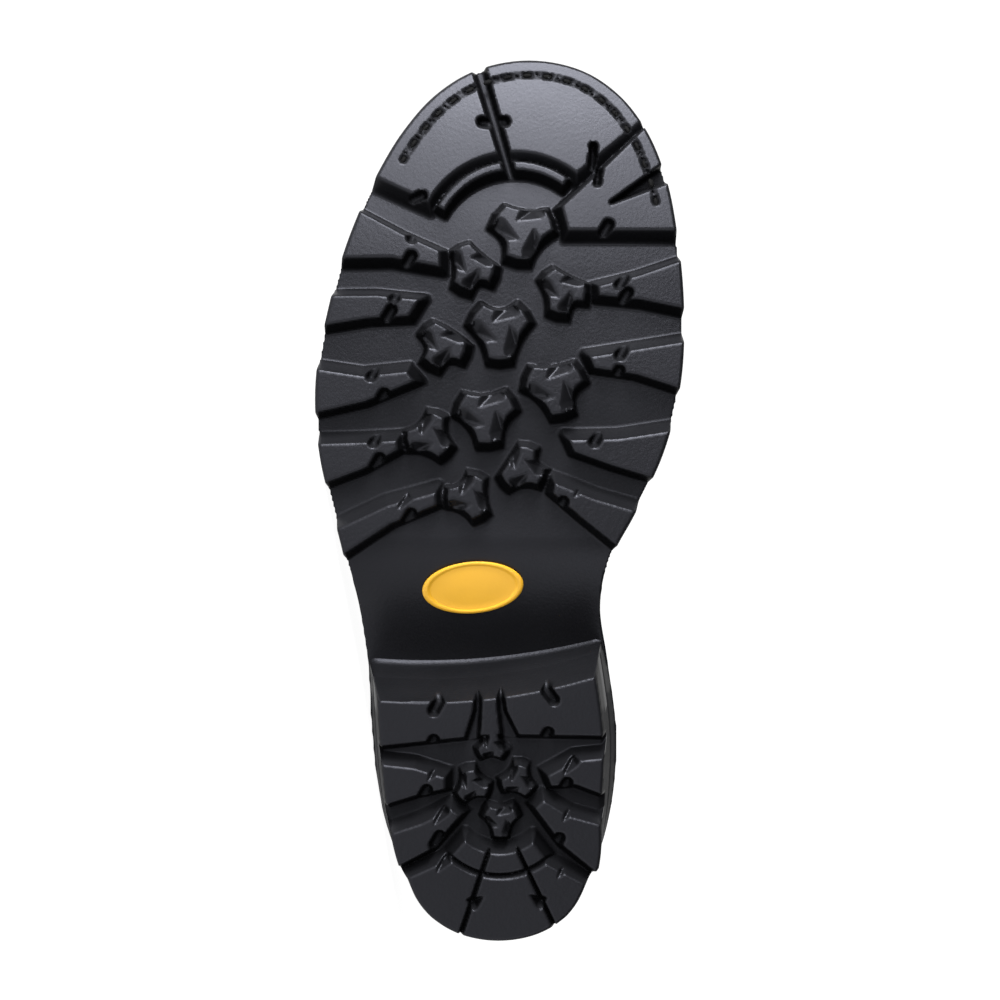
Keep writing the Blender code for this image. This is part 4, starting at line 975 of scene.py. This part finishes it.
def outsole_relief(xy):
    height = tread_height(
        xy, forefoot_lugs, forefoot_drafts, lambda x: np.interp(x, *np.array(BAR_LEAN).T) + toe_lean(x),
        FOREFOOT_STARS, 1.0, lambda x: STAR_LEAN + toe_lean(x),
        FOREFOOT_POCKETS, FOREFOOT_NOTCHES, TOE_GROOVES)
    toe = np.nonzero(xy[:, 0] > SEWN_INNER_X - 3.0)[0]
    spot, share, off = nearest(xy[toe], there_and_back)
    spot = np.minimum(spot, len(sewn_path) - 2)
    along = sewn_travel[spot] + share * (sewn_travel[spot + 1] - sewn_travel[spot])
    dimple = smooth_step(SEWN_DIMPLE + np.cos(2.0 * math.pi * along / sewn_pitch))
    across = 1.0 - smooth_step((off - SEWN_HALF) / SEWN_WALL)
    trough = SEWN_DEPTH / LUG_DEPTH * across * (SEWN_BETWEEN + (1.0 - SEWN_BETWEEN) * dimple)
    height[toe] = np.minimum(height[toe], 1.0 - trough)
    return base_z(xy[:, 0]) + (spring_z(xy[:, 0]) - base_z(xy[:, 0])) * height


sole_x = np.r_[lines(-4.0, FINE_FROM, COARSE)[:-1], lines(FINE_FROM, 295.0, FINE)]
outsole_points, outsole_faces, outsole_shown = relief_plate(
    inset(SOLE_LOOP, -LUG_FLARE), sole_x, lines(-63.0, 63.0, FINE), outsole_relief,
    lambda xy: base_z(xy[:, 0]) + PLATE, EDGE_ROUND, SOLE_LOOP,
    tidy=lambda xy: settle(xy, forefoot_lugs, FOREFOOT_STARS, SETTLE * FINE))
outsole = piece("outsole_rubber", outsole_points, outsole_faces, tread_rubber, 70.0)
floor_z, top_z = base_z(outsole_points[:, 0]), spring_z(outsole_points[:, 0])
lug_share = (floor_z - outsole_points[:, 2]) / (floor_z - top_z)
most_wear_and_sheen = np.where(np.arange(len(outsole_points)) < outsole_shown, 1.0, 0.0)
# Painted shade in the grooves: the sheen is cut there.
for groove, share in zip(TOE_GROOVES, TOE_GROOVES_SHEEN):
    in_groove = groove_distance(outsole_points[:, :2], groove) < -0.2
    most_wear_and_sheen[in_groove & (lug_share > GROOVE_FLOOR / 2.0)] = share
# Painted shade along the sewn channel: less sheen beside the sewing.
beside_sewing = nearest(outsole_points[:, :2], there_and_back)[2] < SEWN_DULL_REACH
most_wear_and_sheen = np.where(beside_sewing, np.minimum(most_wear_and_sheen, SEWN_SHEEN), most_wear_and_sheen)
mark_wear_and_sheen(outsole, outsole_points, lug_share, most_wear_and_sheen, FOREFOOT_POCKETS)
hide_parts("outsole")
stitch_row("toe_stitches", [sewn_line], *TOE_STITCH, 5, "outsole", "sole_rubber")

# Waist plug: a plain oval of yellow rubber with a raised rim, set in the waist of the sole.
# It follows the slope of the plate.
PLUG_X, PLUG_Y, PLUG_ACROSS, PLUG_ALONG, PLUG_TURN = 116.3, -9.2, 34.3, 18.0, 5.0
YELLOW, YELLOW_LIGHT = (0.77, 0.405, 0.022), (0.81, 0.43, 0.024)
# Share of the oval's half size, and how far it stands out of the waist
PLUG_PROFILE = [
    (0.0, 0.9), (0.3, 0.9), (0.6, 0.9), (0.82, 0.9), (0.855, 1.0), (0.88, 1.45), (0.91, 1.6),
    (0.95, 1.6), (0.985, 1.4), (1.0, 0.9), (1.0, 0.0), (0.5, 0.0),
]
PLUG_POINTS, PLUG_HUB = 96, 0.02
plug_turns = np.arange(PLUG_POINTS) * 2.0 * math.pi / PLUG_POINTS
plug_tilt = math.radians(PLUG_TURN)
plug_rings = []
for share, out in PLUG_PROFILE:
    across = max(share, PLUG_HUB) * PLUG_ACROSS / 2.0 * np.cos(plug_turns)
    along = max(share, PLUG_HUB) * PLUG_ALONG / 2.0 * np.sin(plug_turns)
    x = PLUG_X + along * math.cos(plug_tilt) + across * math.sin(plug_tilt)
    y = PLUG_Y + across * math.cos(plug_tilt) - along * math.sin(plug_tilt)
    plug_rings.append(np.column_stack([x, y, base_z(x) - out]))
plug_points = np.vstack(plug_rings)
plug_faces = panel_faces(len(plug_rings), PLUG_POINTS, True)
plug_faces.append(tuple(range(PLUG_POINTS - 1, -1, -1)))
plug_faces.append(tuple(range(len(plug_points) - PLUG_POINTS, len(plug_points))))
yellow = finish("plug_rubber", YELLOW, YELLOW_LIGHT, 0.42, 60.0, 900.0, 0.10)
plug = piece("waist_plug_rubber", plug_points, [face[::-1] for face in plug_faces], yellow)
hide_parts("waist_plug")

# Heel base: the solid rubber layer between heel block and sole plate.
# Its sides run on from the heel's taper, and its breast slants forward to the waist.
HEEL_TAPER_BACK, HEEL_TAPER_OUTER, HEEL_TAPER_INNER = 2.0, 4.2, 5.8
HEEL_TAPER_X, HEEL_TAPER_RUN = 15.0, 35.0
BREAST_TREAD, BREAST_SEAT, BREAST_BOW, BREAST_BOW_Y = 78.3, 89.5, 0.00266, -25.0
HEEL_BLOCK, HEEL_HUB, BASE_GAP, BREAST_REACH = 17.0, (45.0, 0.0), 0.02, 2.0
SIDE_POINTS, BREAST_POINTS = 80, 50
# Heel base from bottom to top: how far in from its outline, and the share of its height
BASE_PROFILE = [
    (0.05, 0.0), (0.0, 0.01), (0.0, 0.35), (0.0, 0.65), (0.0, 0.80), (0.0, 0.87), (0.0, 0.93),
    (0.0, 0.97), (0.0, 1.0),
]
# Fillet where the breast runs out into the waist: how far forward, at each step of the profile
BREAST_FILLET = [0.0, 0.0, 0.0, 0.0, 0.05, 0.3, 0.8, 1.4, 2.4]
# Heel rubber: two tones, and the colour of rubbed wear with painted sheen.
HEEL_DARK, HEEL_BLOOM, HEEL_WEAR_AND_SHEEN = (0.0085, 0.0087, 0.0100), (0.0130, 0.0133, 0.0152), 0.0052
heel_rubber = finish(
    "heel_rubber", HEEL_DARK, HEEL_BLOOM, 0.36, 30.0, 900.0, 0.22, wear_and_sheen=HEEL_WEAR_AND_SHEEN, shine=0.25)


def heel_loop(z):
    """Outline of the heel at height z: tapered sides, and a breast that slants and bows."""
    share = smooth_step((SOLE_LOOP[:, 0] - HEEL_TAPER_X) / HEEL_TAPER_RUN)
    side_taper = np.where(SOLE_LOOP[:, 1] < 0, HEEL_TAPER_OUTER, HEEL_TAPER_INNER)
    taper = HEEL_TAPER_BACK + (side_taper - HEEL_TAPER_BACK) * share
    whole = inset(SOLE_LOOP, taper * (1.0 - z / HEEL_HEIGHT))
    front = BREAST_TREAD + (BREAST_SEAT - BREAST_TREAD) * z / HEEL_HEIGHT
    runs = []
    for half in sides(whole):
        breast = front + BREAST_BOW * (half[:, 1] - BREAST_BOW_Y) ** 2
        cut = int(np.argmax(half[:, 0] > breast))
        over = half[cut - 1:cut + 1, 0] - breast[cut - 1:cut + 1]
        corner = half[cut - 1] + (half[cut] - half[cut - 1]) * over[0] / (over[0] - over[1])
        run = np.vstack([half[:cut], corner])
        travel = travel_along(run)
        spots_along = np.linspace(0.0, travel[-1], SIDE_POINTS)
        runs.append(np.stack([np.interp(spots_along, travel, run[:, axis]) for axis in (0, 1)], axis=1))
    outer, inner = runs
    y = np.linspace(outer[-1, 1], inner[-1, 1], BREAST_POINTS + 2)[1:-1]
    breast_line = np.stack([front + BREAST_BOW * (y - BREAST_BOW_Y) ** 2, y], axis=1)
    return np.vstack([outer, breast_line, inner[:0:-1]])[::-1]


TREAD_LOOP, SEAT_LOOP = heel_loop(0.0), heel_loop(HEEL_HEIGHT)


def heel_at(z):
    """Outline of the heel at one height, or at a height for each of its points."""
    share = np.broadcast_to(z / HEEL_HEIGHT, len(TREAD_LOOP))[:, None]
    return TREAD_LOOP + (SEAT_LOOP - TREAD_LOOP) * share


base_bottom = HEEL_BLOCK + BASE_GAP
seat = np.full(len(TREAD_LOOP), HEEL_HEIGHT)
for _ in range(6):
    seat = base_z(heel_at(seat)[:, 0]) - GAP / 3.0
base_rings = []
breast_points = np.zeros(len(TREAD_LOOP))
breast_points[SIDE_POINTS - 1:SIDE_POINTS - 1 + BREAST_POINTS] = 1.0
for (inward, share), forward in zip(BASE_PROFILE, BREAST_FILLET):
    z = base_bottom + (seat - base_bottom) * share
    base_rings.append(np.column_stack([inset(heel_at(z), inward - forward * breast_points), z]))
ring_size = len(TREAD_LOOP)
base_points = np.vstack([*base_rings, [(*HEEL_HUB, base_bottom), (*HEEL_HUB, HEEL_HEIGHT - GAP)]])
base_faces = panel_faces(len(base_rings), ring_size, True)
hub_below = len(base_rings) * ring_size
top = hub_below - ring_size
for j in range(ring_size):
    k = (j + 1) % ring_size
    base_faces += [(k, j, hub_below), (top + j, top + k, hub_below + 1)]
heel_base = piece("heel_base_rubber", base_points, [face[::-1] for face in base_faces], heel_rubber, 40.0)
# Only the breast, in front of the heel tread, takes painted sheen and painted shade.
mark_wear_and_sheen(heel_base, base_points, np.ones(len(base_points)),
          np.where(base_points[:, 0] < BREAST_TREAD + BREAST_REACH, 0.0, 1.0))
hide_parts("heel_base")

# Heel: one piece of moulded rubber like the outsole, tapered to the tread, with bars, stars and arcs.
# Its breast is a smooth slanting face.
HEEL_BARS = [
    (-1, 57.8, 45.0, 53.5, -18.5, 50.0, -18.5, 1.0, 0.4),
    (-1, 35.1, 24.7, 43.0, -16.5, 40.9, -13.5, -0.8, -3.0),
    (1, 59.9, 48.5, 54.2, 16.0, 51.0, 17.3, 2.0, 1.8),
    (1, 38.0, 23.4, 45.9, 14.6, 43.4, 11.9, -1.5, -2.4),
]
HEEL_STARS = [
    (64.0, -2.7, 4.3, (0, 120, 240)), (50.8, -9.3, 5.0, (-15, 105, 225)),
    (52.5, 6.0, 5.0, (12, 132, 252)), (39.5, 0.2, 5.2, (-60, 60, 180)),
]
REAR_ARC, REAR_ARC_POINTS = (45.4, 0.0, 25.6, 143.4, 221.6), 31
REAR_RIB = (45.4, 0.0, 17.3, 23.5, 141.0, 222.0)
REAR_LUG_OUTER_X, REAR_LUG_INNER_X = 18.4, 16.1
REAR_CENTRE, REAR_SPREAD = (20.0, 0.0), 1.15
FRONT_BAR_OUTER_X, FRONT_BAR_INNER_X, FRONT_BAR_X = 64.0, 67.6, 95.0
FRONT_BAR_MIDDLE = (68.3, -2.0)
HEEL_GROOVES = [
    (82.6, -7.2, 2.6, 75.5, -7.5, 3.0), (75.5, -7.5, 3.0, 65.0, -9.5, 5.6),
    (83.2, -0.1, 2.6, 75.5, 0.8, 3.2), (75.5, 0.8, 3.2, 65.0, 3.9, 7.2),
    (30.5, -3.2, 1.2, -2.0, -14.2, 1.5), (31.0, 5.2, 1.2, -1.0, 20.6, 1.5),
]
HEEL_POCKETS = [
    (67.0, -21.5, -1, -0.6), (69.5, 16.7, -1, -0.6), (50.3, -23.8, -1, -0.6), (52.7, 23.0, -1, -0.6),
    (35.0, -19.5, -1, -0.6), (34.3, 20.4, -1, -0.6), (75.2, -22.6, 1, 0.6), (79.0, 18.5, 1, -0.8),
]
HEEL_NOTCHES = [
    (53.0, -23.7, 1, 0.6), (55.0, 21.5, 1, 0.6), (38.4, -21.7, 1, 0.6), (39.6, 21.3, 1, 0.6),
    (22.5, -20.8, 1, 0.6), (20.6, 19.5, 1, 0.6), (14.0, -5.5, -0.5, -0.8), (14.5, 10.2, -0.5, 0.8),
]
HEEL_LUG, HEEL_FINE, HEEL_DRAFT, HEEL_LEAN, HEEL_STAR_SCALE = 7.0, 0.45, 2.8, -1.0, 0.75
# How far the tread's edge steps out where the side bars end, and in at the rear lug: x, outer, inner
HEEL_STEPS = [
    (0.0, 0.0, 0.0), (8.0, 0.0, 0.0), (14.0, -0.6, -0.8), (19.5, -1.2, -1.3), (23.5, 0.2, 1.4),
    (30.0, 0.1, 0.9), (40.0, 0.0, 0.0),
]
past_outer = edge_points(TREAD_LOOP, -1, REAR_LUG_OUTER_X, 1.0, 9)
past_inner = edge_points(TREAD_LOOP, 1, 1.0, REAR_LUG_INNER_X, 9)
rear_spread = [np.array(REAR_CENTRE) + (np.array(point) - REAR_CENTRE) * REAR_SPREAD
               for point in past_outer[1:] + past_inner[:-1]]
rear_lug = [(REAR_LUG_OUTER_X, past_outer[0][1] - PAST_EDGE), *rear_spread,
            (REAR_LUG_INNER_X, past_inner[-1][1] + PAST_EDGE), *arc_points(*REAR_ARC, REAR_ARC_POINTS)]
front_outer, front_inner = (
    edge_points(TREAD_LOOP, side, x, x, 1)[0][1] + side * PAST_EDGE
    for side, x in ((-1, FRONT_BAR_OUTER_X), (1, FRONT_BAR_INNER_X)))
front_bar = [(FRONT_BAR_OUTER_X, front_outer), (FRONT_BAR_X, front_outer), (FRONT_BAR_X, front_inner),
             (FRONT_BAR_INNER_X, front_inner), FRONT_BAR_MIDDLE]
heel_lugs = [rear_lug, front_bar, rib_outline(REAR_RIB)]
heel_lugs += [bar_outline(row, TREAD_LOOP) for row in HEEL_BARS]


def heel_relief(xy):
    height = tread_height(
        xy, heel_lugs, [HEEL_DRAFT] * len(heel_lugs), lambda x: np.full_like(x, HEEL_LEAN),
        HEEL_STARS, HEEL_STAR_SCALE, np.zeros_like, HEEL_POCKETS, HEEL_NOTCHES, HEEL_GROOVES)
    return HEEL_LUG * (1.0 - height)


step_x, step_outer, step_inner = np.array(HEEL_STEPS).T
edge_step = np.where(TREAD_LOOP[:, 1] < 0.0, np.interp(TREAD_LOOP[:, 0], step_x, step_outer),
                     np.interp(TREAD_LOOP[:, 0], step_x, step_inner))
heel_points, heel_faces, heel_shown = relief_plate(
    inset(TREAD_LOOP, -LUG_FLARE - edge_step), lines(-3.0, 95.0, HEEL_FINE),
    lines(-45.0, 45.0, HEEL_FINE), heel_relief, lambda xy: np.full(len(xy), HEEL_BLOCK), EDGE_ROUND,
    heel_at(HEEL_BLOCK), tidy=lambda xy: settle(xy, heel_lugs, HEEL_STARS, SETTLE * HEEL_FINE),
    hub=HEEL_HUB)
heel = piece("heel_block_rubber", heel_points, heel_faces, heel_rubber, 70.0)
# The breast takes painted sheen and painted shade as the tread does.
on_breast = heel_points[:, 0] > BREAST_TREAD - BREAST_REACH
mark_wear_and_sheen(heel, heel_points, 1.0 - heel_points[:, 2] / HEEL_LUG,
          np.where((np.arange(len(heel_points)) < heel_shown) | on_breast, 1.0, 0.0), HEEL_POCKETS)
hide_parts("heel")

# Floor, backdrop, light and camera: a white sweep and three soft lights, one before the toe, one
# that rakes over the lugs from beyond the toe, and a weak one below the heel.
# The camera looks square at the sole, just above the floor, rolled so that the toe points up.
WHITE, FLOOR_WHITE, PAPER_GLOW, WORLD_LIGHT = (1.0, 1.0, 1.0, 1.0), (0.30, 0.30, 0.30, 1.0), 0.95, 0.12
# Square lights: where they stand and where they aim in the boot's frame, size in metres, power
LIGHTS = [
    ("toe_light", (535.0, -70.0, -715.0), (190.0, 0.0, 0.0), 0.45, 8.4),
    ("rake_light", (700.0, 40.0, -330.0), (120.0, 0.0, 5.0), 0.3, 8.0),
    ("heel_light", (-480.0, 60.0, -640.0), (110.0, 0.0, 10.0), 0.5, 1.6),
]
# The paper's outline from before the boot up behind it: y, z in metres
SWEEP = [(-3.0, 0.0), (0.8, 0.0), (1.2, 0.05), (1.5, 0.25), (1.6, 0.6), (1.6, 3.0)]
sweep_points = [(x, y, z) for y, z in SWEEP for x in (-3.0, 3.0)]
sweep_faces = [(2 * i, 2 * i + 1, 2 * i + 3, 2 * i + 2) for i in range(len(SWEEP) - 1)]
paper_mesh = bpy.data.meshes.new("paper_sweep")
paper_mesh.from_pydata(sweep_points, [], sweep_faces)
paper_mesh.shade_smooth()
paper = bpy.data.materials.new("white_paper")
paper.use_nodes = True
feed(paper.node_tree, paper.node_tree.nodes["Principled BSDF"], {
    "Base Color": FLOOR_WHITE, "Roughness": 1.0, "Specular IOR Level": 0.0,
    "Emission Color": WHITE, "Emission Strength": PAPER_GLOW})
paper_mesh.materials.append(paper)
sweep = bpy.data.objects.new("paper_sweep", paper_mesh)
bpy.context.scene.collection.objects.link(sweep)
for name, at, aim, size, power in LIGHTS:
    light = bpy.data.lights.new(name, "AREA")
    light.shape, light.size, light.energy = "SQUARE", size, power
    lamp = bpy.data.objects.new(name, light)
    lamp.location = to_world([at])[0]
    way = Vector(to_world([aim])[0]) - lamp.location
    lamp.rotation_euler = way.to_track_quat("-Z", "Y").to_euler()
    bpy.context.scene.collection.objects.link(lamp)
world = bpy.data.worlds.new("studio")
world.use_nodes = True
feed(world.node_tree, world.node_tree.nodes["Background"], {"Color": WHITE, "Strength": WORLD_LIGHT})
bpy.context.scene.world = world
bpy.context.scene.view_settings.view_transform = "Standard"

CAMERA_X, CAMERA_AWAY, PICTURE_X, PICTURE_WIDE, SENSOR = 170.0, 900.0, 146.3, 333.3, 36.0
camera_data = bpy.data.cameras.new("camera")
camera_data.sensor_width = SENSOR
camera_data.lens = SENSOR * CAMERA_AWAY / PICTURE_WIDE
camera_data.shift_y = (PICTURE_X - CAMERA_X) / PICTURE_WIDE
camera = bpy.data.objects.new("camera", camera_data)
axes = np.array([[0.0, 1.0, 0.0], [1.0, 0.0, 0.0], [0.0, 0.0, -1.0]])
camera_turn = Matrix((BOOT_TURN @ axes.T).tolist()).to_4x4()
camera.matrix_world = Matrix.Translation(to_world([(CAMERA_X, 0.0, -CAMERA_AWAY)])[0]) @ camera_turn
bpy.context.scene.collection.objects.link(camera)
bpy.context.scene.camera = camera
